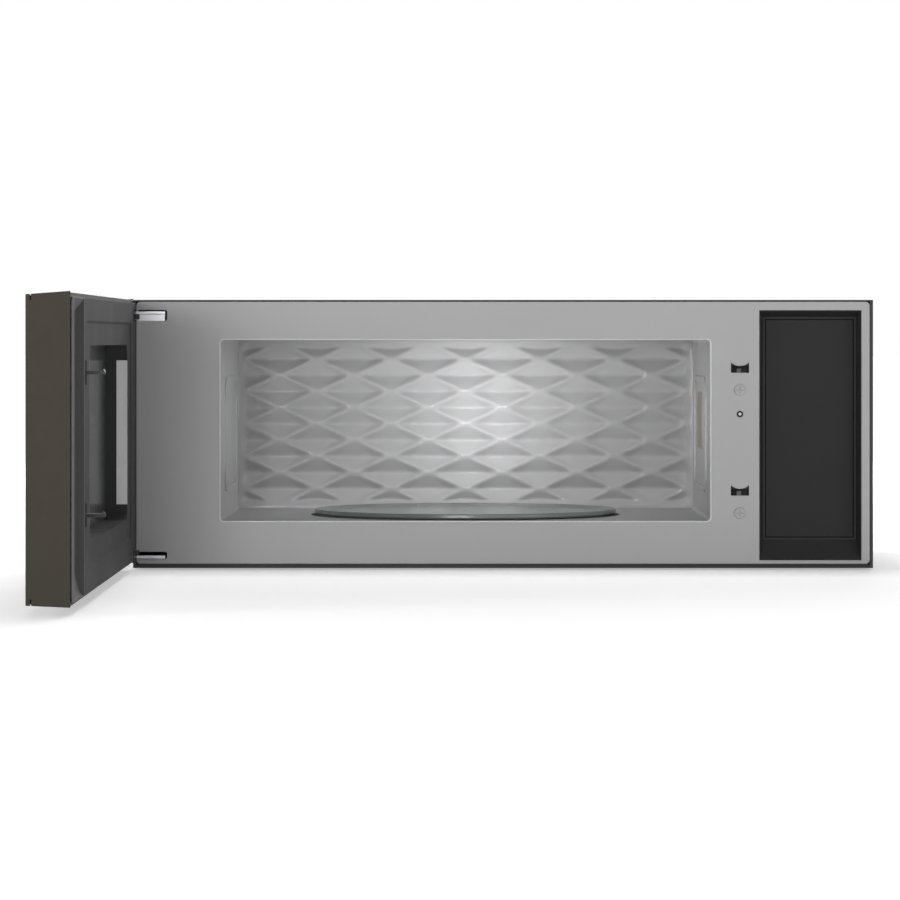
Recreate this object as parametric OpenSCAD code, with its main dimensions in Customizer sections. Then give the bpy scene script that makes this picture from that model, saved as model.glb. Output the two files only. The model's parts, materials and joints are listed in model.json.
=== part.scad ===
// Over-the-range microwave with a full-width door, standing open at a right angle.
// +Z is up and the front faces -Y. X = 0 is the middle of the body, Y = 0 is the wall
// that it hangs on, and Z = 0 is the body's bottom. The door's pieces are drawn shut,
// and the module hung() swings them open about the hinge pins.

/* [Body] */
// Width over the black wrap
body_w = 759; // [750:1:800]
// Height from the base pan to the top of the wrap
body_h = 275; // [270:1:330]
// Depth from the wall to the front of the faceplate
body_d = 400; // [392:1:460]
// Thickness of the body's sheet metal
sheet = 1; // [0.8:0.1:1.3]
// Width of the wrap's hem on each side of the faceplate
hem_w = 3.2; // [2.6:0.1:3.6]
// Height of the wrap's hem above the faceplate
hem_top = 1.6; // [1.2:0.1:2.4]
// Depth of the wrap's hem
hem_d = 2.4; // [1.6:0.1:3]
// Height of the base pan's front band
band_h = 4.1; // [3:0.1:4.5]
// Height of the base pan's side and rear flanges
pan_flange = 12; // [8:1:16]
// Gap between sheets that lie side by side
seam = 0.3; // [0.2:0.05:0.5]

/* [Wall bracket] */
// Thickness of the wall bracket
bracket_t = 3; // [2.5:0.5:4]
// Width of the wall bracket
bracket_w = 680; // [560:1:720]
// Height of the wall bracket
bracket_h = 235; // [200:1:245]
// Distance between stud bolts, two studs apart
stud_pitch = 406.4; // [380:0.1:430]
// Height of the lower row of stud bolts
stud_z = 60; // [45:1:80]
// Distance between the two rows of stud bolts
stud_rise = 120; // [80:1:130]
// Radius of the stud bolt holes
stud_r = 3.5; // [3:0.1:5]

/* [Cabinet bolts] */
// Distance between the two bolts that come down through the cabinet
cabinet_pitch = 520; // [440:1:560]
// Depth of the cabinet bolts behind the faceplate
cabinet_back = 100; // [80:1:130]
// Radius of the thread in the cabinet nuts
cabinet_r = 3.2; // [2.5:0.1:4]

/* [Faceplate] */
// Thickness of the faceplate
frame_t = 1.2; // [0.8:0.1:1.6]
// Depth of the faceplate's turned edge
frame_lip = 9; // [6:1:14]

/* [Cavity] */
// Width of the oven cavity
cav_w = 502; // [480:1:505]
// Height of the oven cavity
cav_h = 185.3; // [175:0.1:188]
// Depth of the oven cavity behind the faceplate's front
cav_d = 340; // [332:1:344]
// Middle of the cavity, left of the body's middle
cav_x = -38.7; // [-42:0.1:-36]
// Height of the cavity floor
cav_z = 48.5; // [47:0.1:52]
// Radius of the cavity's corners
cav_r = 3.5; // [2:0.1:6]
// Width of the cavity's front flange behind the faceplate
cav_flange = 12; // [8:1:14]
// Step of the cavity's bright edge inside the faceplate opening
rim_step = 1.5; // [1:0.1:2]
// Length of the rounded outline pressed into each side wall
emboss_l = 224; // [180:1:240]
// Height of that outline
emboss_h = 120; // [90:1:130]
// Width of the pressed line
emboss_line = 5; // [3:0.5:8]
// Height of the pressed line above the wall
emboss_rise = 1.4; // [0.6:0.1:2]

/* [Quilted back wall] */
// Distance from one diamond to the next in a row
quilt_w = 82; // [70:0.5:95]
// Distance from one row of diamonds to the next
quilt_h = 17.9; // [15:0.1:21]
// Depth of the crease in each diamond
quilt_depth = 4; // [3:0.1:6]
// Width of the flat web between two diamonds
quilt_web = 4; // [4:0.5:14]
// Drop of the first row of creases below the cavity ceiling
quilt_drop = 2.9; // [2:0.1:12]

/* [Turntable] */
// Distance of the turntable's middle behind the faceplate
table_back = 170; // [168:1:172]
// Radius of the round well in the cavity floor
well_r = 164; // [163:0.5:165]
// Depth of the well
well_h = 14; // [12.5:0.1:15]
// Radius of the glass tray
tray_r = 160.5; // [150:0.5:162]
// Thickness of the glass
tray_t = 5; // [4:0.5:6]
// Height of the tray's rim over its base
tray_rim = 2.6; // [1.5:0.1:4]
// Radius of the rollers
roller_r = 6; // [5:0.1:6.4]
// Width of the rollers
roller_w = 8; // [6:0.5:10]
// Radius of the circle that the rollers run on
roller_ring_r = 102; // [85:1:120]
// Gap above and below the rollers
roller_gap = 0.3; // [0.2:0.05:0.4]
// Radius of the coupler's shaft
coupler_r = 4; // [3:0.1:5]
// Radius of the turntable motor
table_motor_r = 25; // [20:0.5:28]
// Height of the turntable motor
table_motor_h = 19; // [15:0.5:20]

/* [Door] */
// Width of the door
door_w = 749; // [742:1:752]
// Thickness of the door's skin, front to back
door_t = 38.3; // [37:0.1:44]
// Height of the door's lower edge
door_low = 5.5; // [4.5:0.1:7]
// Rise of the door above the body's top
door_over = 1; // [0:0.1:3]
// Rise of the door's end plates over its top and bottom sheets
ear = 1.2; // [0.6:0.1:1.4]
// Slope of the door's top sheet towards the front
taper_top = 2.8; // [0:0.1:3.5]
// Slope of the door's bottom sheet towards the front
taper_low = 1.7; // [0:0.1:2.4]
// Gap between the shut door's inner cover and the faceplate
door_gap = 4.1; // [3.9:0.1:4.4]
// Thickness of the door's stainless skin
skin_t = 1; // [0.8:0.1:1.2]
// Width of the skin's return lip at the free end
skin_lip = 7; // [5:0.5:8]
// Height of the return lips at the top and bottom
lip_h = 2.8; // [2:0.1:3.2]
// Border of skin around the outer glass
glass_border = 14; // [12:1:24]
// Thickness of the outer glass
glass_t = 4; // [3:0.5:4.5]
// Thickness of the plastic inner cover's walls
liner_t = 2; // [1.5:0.1:2.2]
// Rise of the inner cover's face over the skin's lips
face_out = 2.6; // [2.4:0.1:3]
// Shadow gap between the lips and the inner cover's rim
shadow_gap = 1.2; // [0.8:0.1:1.4]
// Depth of the sunk panel around the window
sunk = 1.2; // [0.8:0.1:1.4]
// Distance of the sunk panel from the door's hinge end
sunk_in = 66.5; // [55:0.5:80]
// Distance of the sunk panel from the door's free end
sunk_out = 144; // [142:1:150]
// Distance of the sunk panel from the door's lower edge
sunk_low = 26.5; // [24:0.5:30]
// Distance of the sunk panel from the door's upper edge
sunk_high = 24.7; // [24.5:0.1:30]
// Distance of the window recess from the door's hinge end
window_in = 104; // [100:1:108]
// Width of the window recess
window_w = 461; // [450:1:466]
// Height of the window recess
window_h = 175; // [160:1:176]
// Height of the window recess above the body's bottom
window_z = 54; // [53:0.5:60]
// Depth of the window recess
window_deep = 22.6; // [20:0.1:23.5]
// Corner radius of the window recess
window_r = 11.5; // [8:0.5:13]
// Distance of the light flange from the recess's upper and lower edges
flange_in = 15.5; // [14:0.5:24]
// Depth of the light flange in the recess
flange_d = 11.9; // [9:0.1:14]
// Thickness of the inner pane
pane_t = 3; // [2:0.5:3.5]

/* [Finger pocket] */
// Depth of the finger pocket in the door, from its inner face
pocket_deep = 12; // [9:0.1:13]
// Run of the pocket's slanting top
pocket_slant = 15; // [10:0.5:18]
// Height of the pocket's curved bottom
pocket_curve = 46; // [30:0.5:60]

/* [Hinges] */
// Distance of the hinge pins from the side of the body
hinge_in = 4.3; // [4.2:0.1:4.8]
// Distance of the hinge pins in front of the faceplate
hinge_out = 2.9; // [2.8:0.05:3]
// Radius of the hinge pins
pin_r = 1.5; // [1.2:0.05:1.6]
// Running clearance between a pin and its bush
pin_fit = 0.05; // [0.03:0.01:0.08]
// Width of the hinge plates
hinge_w = 29; // [24:0.5:34]
// Thickness of the hinge plates
hinge_t = 2.8; // [2:0.1:3.2]
// Height of the upper hinge slot
hinge_slot_h = 11; // [9:0.5:11.5]
// Height of the lower hinge slot
low_slot_h = 7.2; // [6.5:0.1:8]
// Distance of the upper slot's top below the body's top
hinge_drop = 10.4; // [9:0.1:12]
// Height of the lower slot's bottom
hinge_low = 9.4; // [9:0.1:10]

/* [Latch] */
// Middle of the latch slots, right of the body's middle
latch_x = 243; // [240:0.5:244]
// Height of the lower latch slot's middle
latch_low = 79.6; // [76:0.1:84]
// Height from the lower to the upper latch slot
latch_rise = 126; // [110:0.5:132]
// Width of the latch slots
slot_w = 18.5; // [16:0.1:20]
// Height of the latch slots
slot_h = 10.6; // [10:0.1:11.5]
// Width of the hooks
hook_w = 10; // [8:0.5:11]
// Thickness of the hooks
hook_t = 3; // [2.5:0.1:3.2]
// Reach of the hooks from the door's inner face
hook_l = 17.2; // [16:0.1:20]
// Rise of the barb over a hook
barb = 1.5; // [1:0.1:1.8]
// Travel of the latch key
key_travel = 2.6; // [2:0.1:2.8]
// Radius of the latch block's screw heads
screw_head_r = 6; // [5:0.1:7]
// Radius of the sense plunger
plunger_r = 1.4; // [1:0.05:1.6]
// Height of the sense plunger
plunger_z = 157.9; // [150:0.1:165]
// Travel of the sense plunger
plunger_travel = 3; // [2:0.1:4]

/* [Black tray] */
// Middle of the tray, right of the body's middle
recess_x = 315.3; // [314:0.1:316]
// Width of the tray
recess_w = 104.2; // [98:0.1:106]
// Height of the tray's lower edge
recess_low = 8.2; // [7.5:0.1:9]
// Drop of the tray's upper edge below the body's top
recess_drop = 10.9; // [9:0.1:14]
// Depth of the tray
recess_deep = 14; // [12:0.5:16]
// Thickness of the tray's walls
recess_t = 1.6; // [1.2:0.1:2]
// Inward slope of the tray's sides
slope_side = 3.5; // [2:0.1:4]
// Inward slope of the tray's top
slope_top = 5.6; // [3:0.1:7]
// Inward slope of the tray's bottom
slope_low = 19.5; // [12:0.1:22]
// Border of tray floor around the filter cover
cover_border = 3; // [2.5:0.1:5]
// Width of the groove around the filter cover
cover_gap = 0.8; // [0.4:0.1:1.2]
// Thickness of the charcoal filter
charcoal_t = 17; // [10:0.5:19]

/* [Grease filters] */
// Width of one grease filter
grease_w = 210; // [170:1:212]
// Depth of one grease filter, front to back
grease_l = 150; // [120:1:156]
// Thickness of one grease filter
grease_t = 8.4; // [6:0.1:9]
// Middle of the left filter
grease_left_x = -225; // [-230:1:-220]
// Middle of the right filter
grease_right_x = 165; // [160:1:166]

/* [Air] */
// Width of the exhaust port
port_w = 254; // [220:1:260]
// Depth of the exhaust port
port_d = 83; // [70:1:86]
// Distance of the exhaust port from the back of the body
port_back = 14; // [12:1:16]
// Height of the exhaust collar above the body's top
collar_h = 2.5; // [2:0.1:2.8]
// Radius of the vent blower wheel
blower_r = 60; // [50:0.5:61]
// Width of the vent blower housing
blower_w = 62; // [55:0.5:63]
// Height of the vent blower's shaft
blower_z = 122; // [115:1:125]
// Distance of the blower's shaft from the rear end of the cavity
blower_back = 95; // [85:1:100]
// Number of blades on the vent blower
blower_blades = 24; // [16:1:28]
// Radius of the cooling fan
fan_r = 52; // [44:0.5:54]
// Height of the cooling fan's shaft
fan_z = 150; // [140:1:155]
// Radius of the fan and blower shafts
shaft_r = 3; // [2:0.1:3.5]

/* [Hidden] */
$fn = 48;
eps = 0.05;
door_open = 89.7;

// Body planes
half_w = body_w / 2;
y_front = -body_d;
y_rear = -bracket_t;
inner_w = half_w - sheet;
frame_half = half_w - hem_w - seam;
frame_z0 = band_h + seam;
frame_z1 = body_h - hem_top - seam;
y_behind = y_front + frame_t;
y_plate = y_rear - sheet;

// Cavity planes
cav_x0 = cav_x - cav_w / 2;
cav_x1 = cav_x + cav_w / 2;
cav_y1 = y_front + cav_d;
cav_top = cav_z + cav_h;
table_y = y_front + table_back;
well_z = cav_z - well_h;
roller_z = well_z + roller_gap + roller_r;
tray_z = roller_z + roller_r + roller_gap;
coupler_top = tray_z - 0.8;
wing_l = 20;

// Door planes, drawn shut; n is the depth from the inner cover's face, towards the cavity
door_x0 = -door_w / 2;
door_x1 = door_w / 2;
door_z0 = door_low;
door_z1 = body_h + door_over;
y_in = y_front - door_gap;
hinge_x = -half_w + hinge_in;
hinge_y = y_front - hinge_out;
fold_n = -face_out;
front_n = fold_n - door_t;
lip_z0 = door_z0 + ear + skin_t + lip_h;
lip_z1 = door_z1 - ear - skin_t - lip_h;
rim_n = fold_n + shadow_gap;
rim_x0 = door_x0 + 1.5;
rim_x1 = door_x1 - 1.5;
rim_z0 = lip_z0 - 0.6;
rim_z1 = lip_z1 + 0.4;
win_x0 = door_x0 + window_in;
win_x1 = win_x0 + window_w;
win_z1 = window_z + window_h;
pane_n = -window_deep;
screen_t = 0.8;
screen_n = pane_n - pane_t;
carrier_n = front_n + glass_t;
carrier_t = 1.2;
block_x1 = door_x1 - skin_t - skin_lip - seam;
pocket_x0 = recess_x - recess_w / 2;
pocket_x1 = block_x1 - liner_t;
pocket_n = -pocket_deep;
pocket_z0 = door_z0 + ear + skin_t + taper_low * (pocket_deep + liner_t) / door_t + seam;
pocket_z1 = rim_z1 - 1.2;

// Hinges; each entry is the plate's underside and the way its pin points
upper_z = body_h - hinge_drop - 1.3 - hinge_t;
lower_z = hinge_low + 0.9;
hinge_sets = [[upper_z, -1], [lower_z, 1]];
nose_r = pin_r + 0.9;
bush_r = 2.6;
bush_drop = 0.5;
bush_h = 4.6;
pin_l = bush_drop + bush_h + seam;

// Latch
latch_z = [latch_low, latch_low + latch_rise];
screw_z = [latch_low - 23.2, latch_low + latch_rise - 23];
block_w = 24;
block_d = 38;
block_z0 = latch_low - 32;
block_z1 = latch_low + latch_rise + 17;
key_n0 = -9;
key_n1 = -3.4;
hook_drop = 0.45;
tab_drop = 3.7;
hook_tip = 2.4;

// Black tray and its cover
recess_z1 = body_h - recess_drop;
recess_x0 = recess_x - recess_w / 2;
recess_x1 = recess_x + recess_w / 2;
recess_rim = 0.8;
floor_x0 = recess_x0 + recess_rim + slope_side;
floor_x1 = recess_x1 - recess_rim - slope_side;
floor_z0 = recess_low + recess_rim + slope_low;
floor_z1 = recess_z1 - recess_rim - slope_top;
y_floor = y_front + recess_deep;
cover_x0 = floor_x0 + cover_border;
cover_x1 = floor_x1 - cover_border;
cover_z0 = floor_z0 + cover_border;
cover_z1 = floor_z1 - cover_border;
bay_d = 24;

// Air path
port_y1 = y_rear - port_back;
port_y0 = port_y1 - port_d;
scroll_x1 = cav_x0 - sheet;
scroll_x0 = scroll_x1 - blower_w;
scroll_y = cav_y1 - blower_back;
scroll_t = 1.5;
scroll_r = blower_r + 6;
chimney_l = scroll_r - 8;
duct_z = cav_top + sheet + 5;
wall_x = cav_x1 + sheet;
fan_x = (wall_x + inner_w) / 2;
fan_y = cav_y1 - 60;
guide_d = 32;
guide_y = table_y + 20;
guide_z = cav_z + 100;

// A box given by its lowest and highest coordinates
module box(x0, x1, y0, y1, z0, z1) {
    translate([x0, y0, z0]) cube([x1 - x0, y1 - y0, z1 - z0]);
}

// The same on the door, with n measured from its inner face
module door_box(x0, x1, n0, n1, z0, z1) {
    box(x0, x1, y_in + n0, y_in + n1, z0, z1);
}

// A rectangle with true arcs at its corners
module round_rect(w, h, r) {
    square([w - 2 * r, h], center = true);
    square([w, h - 2 * r], center = true);
    for (sx = [-1, 1], sy = [-1, 1]) {
        translate([sx * (w / 2 - r), sy * (h / 2 - r)]) circle(r = r);
    }
}

// A flat outline in X and Z, made deep from y0 to y1
module slab(y0, y1) {
    translate([0, y1, 0]) rotate([90, 0, 0]) linear_extrude(y1 - y0) children();
}

// A rounded opening or plate between two heights and two sides
module round_slab(x0, x1, y0, y1, z0, z1, r) {
    slab(y0, y1) translate([(x0 + x1) / 2, (z0 + z1) / 2]) round_rect(x1 - x0, z1 - z0, r);
}

// A cylinder along Y, and one along X
module rod_y(x, y0, y1, z, r) {
    translate([x, y1, z]) rotate([90, 0, 0]) cylinder(r = r, h = y1 - y0);
}
module rod_x(x0, x1, y, z, r) {
    translate([x0, y, z]) rotate([0, 90, 0]) cylinder(r = r, h = x1 - x0);
}
module rod_z(x, y, z0, z1, r) {
    translate([x, y, z0]) cylinder(r = r, h = z1 - z0);
}

// Swings a piece of the door from shut to the photographed angle
module hung() {
    translate([hinge_x, hinge_y, 0]) rotate([0, 0, -door_open])
        translate([-hinge_x, -hinge_y, 0]) children();
}

// The black sheet over the top and sides, hemmed at the front and turned in at the back
module outer_wrap() color([0.04, 0.04, 0.045]) {
    difference() {
        union() {
            box(-half_w, half_w, y_front, y_rear, body_h - sheet, body_h);
            box(-half_w, half_w, y_front, y_front + hem_d, body_h - hem_top, body_h);
            for (side = [-1, 1]) {
                out = side * half_w;
                box(min(out, out - side * sheet), max(out, out - side * sheet),
                    y_front, y_rear, 0, body_h);
                box(min(out, out - side * hem_w), max(out, out - side * hem_w),
                    y_front, y_front + hem_d, 0, body_h);
            }
            box(-inner_w, inner_w, y_plate - sheet, y_plate, body_h - sheet - 10, body_h);
        }
        box(-port_w / 2 - seam, port_w / 2 + seam, port_y0 - seam, port_y1 + seam,
            body_h - sheet - 1, body_h + 1);
        for (side = [-1, 1]) {
            rod_z(side * cabinet_pitch / 2, y_front + cabinet_back,
                body_h - sheet - 1, body_h + 1, cabinet_r + 0.6);
            rod_y(side * (half_w - 60), y_plate - sheet - 1, y_plate + 1, body_h - sheet - 5, 1.6);
        }
        rod_z(half_w - 60, y_rear - 45, body_h - sheet - 1, body_h + 1, 9);
    }
}

// The hood bottom, with openings for the grease filters and the cooktop lamps
lamp_x = 200;
lamp_y = y_front + 35;
module base_pan() color([0.2, 0.2, 0.21]) {
    difference() {
        union() {
            box(-inner_w, inner_w, y_front, y_rear, 0, sheet);
            box(-frame_half, frame_half, y_front, y_front + frame_t, 0, band_h);
            for (side = [-1, 1]) {
                out = side * inner_w;
                box(min(out, out - side * sheet), max(out, out - side * sheet),
                    y_front + hem_d + seam, y_plate - sheet, 0, pan_flange);
            }
            box(-inner_w, inner_w, y_plate - sheet, y_plate, 0, pan_flange);
        }
        for (side = [-1, 1]) {
            out = side * half_w;
            box(min(out, side * frame_half), max(out, side * frame_half),
                y_front - 1, y_front + hem_d + seam, -1, band_h + 1);
            rod_z(side * lamp_x, lamp_y, -1, sheet + 1, 20);
        }
        for (x = [grease_left_x, grease_right_x]) {
            box(x - grease_w / 2 - 0.5, x + grease_w / 2 + 0.5,
                table_y - grease_l / 2 - 0.5, table_y + grease_l / 2 + 0.5, -1, sheet + 1);
        }
    }
}

// The rear panel, slotted for the wall bracket's hooks
hook_x = 240;
hook_z = 20;
module back_plate() color([0.62, 0.63, 0.64]) {
    difference() {
        box(-inner_w, inner_w, y_plate, y_rear, sheet, body_h - sheet);
        for (side = [-1, 1]) {
            box(side * hook_x - 13, side * hook_x + 13, y_plate - 1, y_rear + 1,
                hook_z - seam, hook_z + 14);
            rod_y(side * (half_w - 60), y_plate - 1, y_rear + 1, body_h - sheet - 5, 1.6);
        }
    }
}

// The plate that is bolted to the wall studs, with two hooks that carry the body
module wall_bracket() color([0.55, 0.56, 0.57]) {
    difference() {
        box(-bracket_w / 2, bracket_w / 2, y_rear, 0, 0, bracket_h);
        for (sx = [-1, 1], rise = [0, stud_rise]) {
            rod_y(sx * stud_pitch / 2, y_rear - 1, 1, stud_z + rise, stud_r);
        }
        box(-90, 90, y_rear - 1, 1, 40, bracket_h - 40);
    }
    for (side = [-1, 1]) {
        box(side * hook_x - 12, side * hook_x + 12, y_plate - 4, y_rear + eps, hook_z, hook_z + 2.5);
        box(side * hook_x - 12, side * hook_x + 12, y_plate - 4, y_plate - 2.5, hook_z, hook_z + 12);
    }
}

// The wrap's fasteners: two screws that join it to the rear panel above the wall bracket,
// and two weld nuts under its top for the bolts from the cabinet
module wrap_fasteners() color([0.7, 0.7, 0.72]) {
    for (side = [-1, 1]) {
        rod_y(side * (half_w - 60), y_rear, y_rear + 1.8, body_h - sheet - 5, 4);
        rod_y(side * (half_w - 60), y_plate - sheet - 2, y_rear + eps, body_h - sheet - 5, 1.5);
        difference() {
            rod_z(side * cabinet_pitch / 2, y_front + cabinet_back, body_h - sheet - 8, body_h - sheet, 9);
            rod_z(side * cabinet_pitch / 2, y_front + cabinet_back,
                body_h - sheet - 9, body_h - sheet + 1, cabinet_r);
        }
    }
}

// One latch slot, with the rounded tab that hangs into it from above
module latch_slot(z) {
    tab_r = (slot_w * slot_w / 4 + tab_drop * tab_drop) / (2 * tab_drop) - 0.4;
    difference() {
        box(latch_x - slot_w / 2, latch_x + slot_w / 2, y_front - 1, y_behind + 1,
            z - slot_h / 2, z + slot_h / 2);
        rod_y(latch_x, y_front - 2, y_behind + 2, z + slot_h / 2 + tab_r - tab_drop, tab_r);
    }
}

// The slot that one hinge plate comes out of
module hinge_slot(z0, h) {
    slot_x0 = -frame_half + 1;
    slot_x1 = hinge_x + hinge_w + 1.6;
    round_slab(slot_x0, slot_x1, y_front - 1, y_behind + 1, z0, z0 + h, 2);
}

// The light grey faceplate, with turned edges all round
module front_frame() color([0.68, 0.68, 0.69]) {
    difference() {
        union() {
            round_slab(-frame_half, frame_half, y_front, y_behind, frame_z0, frame_z1, 4);
            difference() {
                round_slab(-frame_half, frame_half, y_front, y_front + frame_lip, frame_z0, frame_z1, 4);
                round_slab(-frame_half + frame_t, frame_half - frame_t, y_front - 1,
                    y_front + frame_lip + 1, frame_z0 + frame_t, frame_z1 - frame_t, 2.8);
            }
        }
        round_slab(cav_x0 - rim_step, cav_x1 + rim_step, y_front - 1, y_behind + 1,
            cav_z - rim_step, cav_top + rim_step, cav_r + rim_step);
        hinge_slot(body_h - hinge_drop - hinge_slot_h, hinge_slot_h);
        hinge_slot(hinge_low, low_slot_h);
        for (z = latch_z) latch_slot(z);
        for (z = screw_z) rod_y(latch_x, y_front - 1, y_behind + 1, z, 2.3);
        rod_y(latch_x, y_front - 1, y_behind + 1, plunger_z, plunger_r + 2);
        box(recess_x0 - seam, recess_x1 + seam, y_front - 1, y_behind + 1,
            recess_low - seam, recess_z1 + seam);
    }
}

// A chromed hinge plate with its pin; a leaf behind the faceplate carries it
module hinge_bracket(z, way, leaf_z0, leaf_z1) {
    leaf_x0 = -frame_half + frame_t + seam;
    root = way < 0 ? z : z + hinge_t;
    tip = root + way * pin_l;
    cap = tip + way * 0.8;
    box(leaf_x0, hinge_x + hinge_w - 0.6, y_behind, y_behind + 1.5, leaf_z0, leaf_z1);
    box(leaf_x0, hinge_x + hinge_w, hinge_y - nose_r, y_behind + 8, z, z + hinge_t);
    rod_z(hinge_x, hinge_y, z, z + hinge_t, nose_r);
    rod_z(hinge_x, hinge_y, min(root, tip) - eps, max(root, tip) + eps, pin_r);
    rod_z(hinge_x, hinge_y, min(tip, cap), max(tip, cap), pin_r + 0.5);
}
module hinge_upper() color([0.8, 0.8, 0.82]) {
    hinge_bracket(upper_z, -1, upper_z - 32, upper_z + eps);
}
module hinge_lower() color([0.8, 0.8, 0.82]) {
    hinge_bracket(lower_z, 1, frame_z0 + frame_t + seam, lower_z + eps);
}

// The oven box: walls, front flange and the pressed outlines
module cavity_shell() color([0.7, 0.7, 0.71]) {
    difference() {
        union() {
            round_slab(cav_x0 - sheet, cav_x1 + sheet, y_behind, cav_y1,
                cav_z - sheet, cav_top + sheet, cav_r + sheet);
            round_slab(cav_x0 - cav_flange, cav_x1 + cav_flange, y_behind, y_behind + sheet,
                cav_z - cav_flange, cav_top + cav_flange, cav_r + cav_flange);
        }
        round_slab(cav_x0, cav_x1, y_behind - 1, cav_y1 + 1, cav_z, cav_top, cav_r);
        floor_plate(1);
        box(cav_x1 - 1, cav_x1 + sheet + 1, guide_y - 30, guide_y + 30, guide_z - 20, guide_z + 20);
        for (turn = [0:60:300]) {
            rod_x(cav_x1 - 1, cav_x1 + sheet + 1, y_front + 82 + 5 * cos(turn),
                cav_top - 30 + 5 * sin(turn), 1.6);
        }
    }
    for (side = [0, 1]) {
        x0 = side == 0 ? cav_x0 - sheet / 2 : cav_x1 - emboss_rise;
        x1 = side == 0 ? cav_x0 + emboss_rise : cav_x1 + sheet / 2;
        emboss_y = table_y + 14;
        emboss_z = cav_z + cav_h / 2 - 6;
        translate([x0, emboss_y, emboss_z]) rotate([90, 0, 90]) linear_extrude(x1 - x0)
            difference() {
                round_rect(emboss_l, emboss_h, 26);
                round_rect(emboss_l - 2 * emboss_line, emboss_h - 2 * emboss_line, 21);
            }
    }
}

// The oven's floor between its side walls, with the sunken round well
module floor_plate(past) {
    box(cav_x0 + cav_r, cav_x1 - cav_r, y_behind + sheet, cav_y1 + past,
        cav_z - sheet - past, cav_z + past);
}
module cavity_floor() color([0.7, 0.7, 0.71]) {
    difference() {
        union() {
            floor_plate(0);
            rod_z(cav_x, table_y, well_z - sheet, cav_z - sheet / 2, well_r + sheet);
        }
        rod_z(cav_x, table_y, well_z, cav_z + 1, well_r);
        rod_z(cav_x, table_y, well_z - sheet - 1, well_z + 1, coupler_r + 3);
    }
}

// The quilted sheet. Each diamond is a hollow roof: a level crease, two broad faces and
// four narrow ones, inside a flat web. Cells sit on a grid where column + row is even.
cell_w = quilt_w / 2;
cell_h = quilt_h;
rise_w = cell_w - quilt_web;
rise_h = cell_h * rise_w / cell_w;
crease_w = rise_w * 0.88;
cols = ceil((cav_w / 2 + 20) / cell_w);
rows = ceil((cav_h + 40) / cell_h);
quilt_z = cav_top - quilt_drop;
grid_n = rows + 4;
function slot_at(i, j) = ((i + cols + 1) * grid_n + (j + 2)) * 7;
function cell_points(i, j, back) = [for (p = [[0, 0, 0], [-rise_w, 0, 0], [rise_w, 0, 0],
    [0, rise_h, 0], [0, -rise_h, 0], [-crease_w, 0, 1], [crease_w, 0, 1]])
    [cav_x + i * cell_w + p[0], cav_y1 + p[2] * quilt_depth + back, quilt_z - j * cell_h + p[1]]];
function cell_faces(i, j, base) = let (s = slot_at(i, j) + base,
    left = slot_at(i - 1, j) + base, right = slot_at(i + 1, j) + base,
    up = slot_at(i, j - 1) + base, down = slot_at(i, j + 1) + base) [
    [s + 5, s + 3, s + 6], [s + 5, s + 6, s + 4],
    [s + 1, s + 3, s + 5], [s + 1, s + 5, s + 4], [s + 6, s + 3, s + 2], [s + 6, s + 2, s + 4],
    [left, up, s + 3], [left, s + 3, s + 1], [up, right, s + 2], [up, s + 2, s + 3],
    [right, down, s + 4], [right, s + 4, s + 2], [down, left, s + 1], [down, s + 1, s + 4]];
function flip(faces) = [for (f = faces) [f[2], f[1], f[0]]];
function on_quilt(i, j) = abs(i) <= cols && j >= -1 && j <= rows;
all_points = [for (back = [0, sheet]) for (i = [-cols - 1:cols + 1]) for (j = [-2:rows + 1])
    each cell_points(i, j, back)];
layer_n = len(all_points) / 2;
cells = [for (i = [-cols:cols]) for (j = [-1:rows]) if ((i + j + 100) % 2 == 0) [i, j]];
quilt_front = [for (c = cells) each cell_faces(c[0], c[1], 0)];
quilt_back = [for (c = cells) each flip(cell_faces(c[0], c[1], layer_n))];
// A side wall closes the sheet along each cell edge that has no neighbour
corner_steps = [[[-1, 0], [0, -1], [-1, -1]], [[0, -1], [1, 0], [1, -1]],
    [[1, 0], [0, 1], [1, 1]], [[0, 1], [-1, 0], [-1, 1]]];
quilt_sides = [for (c = cells) for (e = corner_steps)
    if (!on_quilt(c[0] + e[2][0], c[1] + e[2][1]))
    let (a = slot_at(c[0] + e[0][0], c[1] + e[0][1]), b = slot_at(c[0] + e[1][0], c[1] + e[1][1]))
    each [[b, a, a + layer_n], [b, a + layer_n, b + layer_n]]];
module cavity_back() color([0.7, 0.7, 0.71]) {
    intersection() {
        polyhedron(points = all_points, faces = concat(quilt_front, quilt_back, quilt_sides));
        box(cav_x0 - sheet, cav_x1 + sheet, cav_y1 - 1, cav_y1 + quilt_depth + 2 * sheet,
            cav_z - sheet, cav_top + sheet);
    }
}

// The mica sheet over the waveguide's mouth
module mica_cover() color([0.62, 0.58, 0.5]) {
    round_slab_x(cav_x1 - 0.6, cav_x1, guide_y, guide_z, 84, 60, 4);
}
module round_slab_x(x0, x1, y, z, w, h, r) {
    translate([x0, y, z]) rotate([90, 0, 90]) linear_extrude(x1 - x0) round_rect(w, h, r);
}

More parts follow.
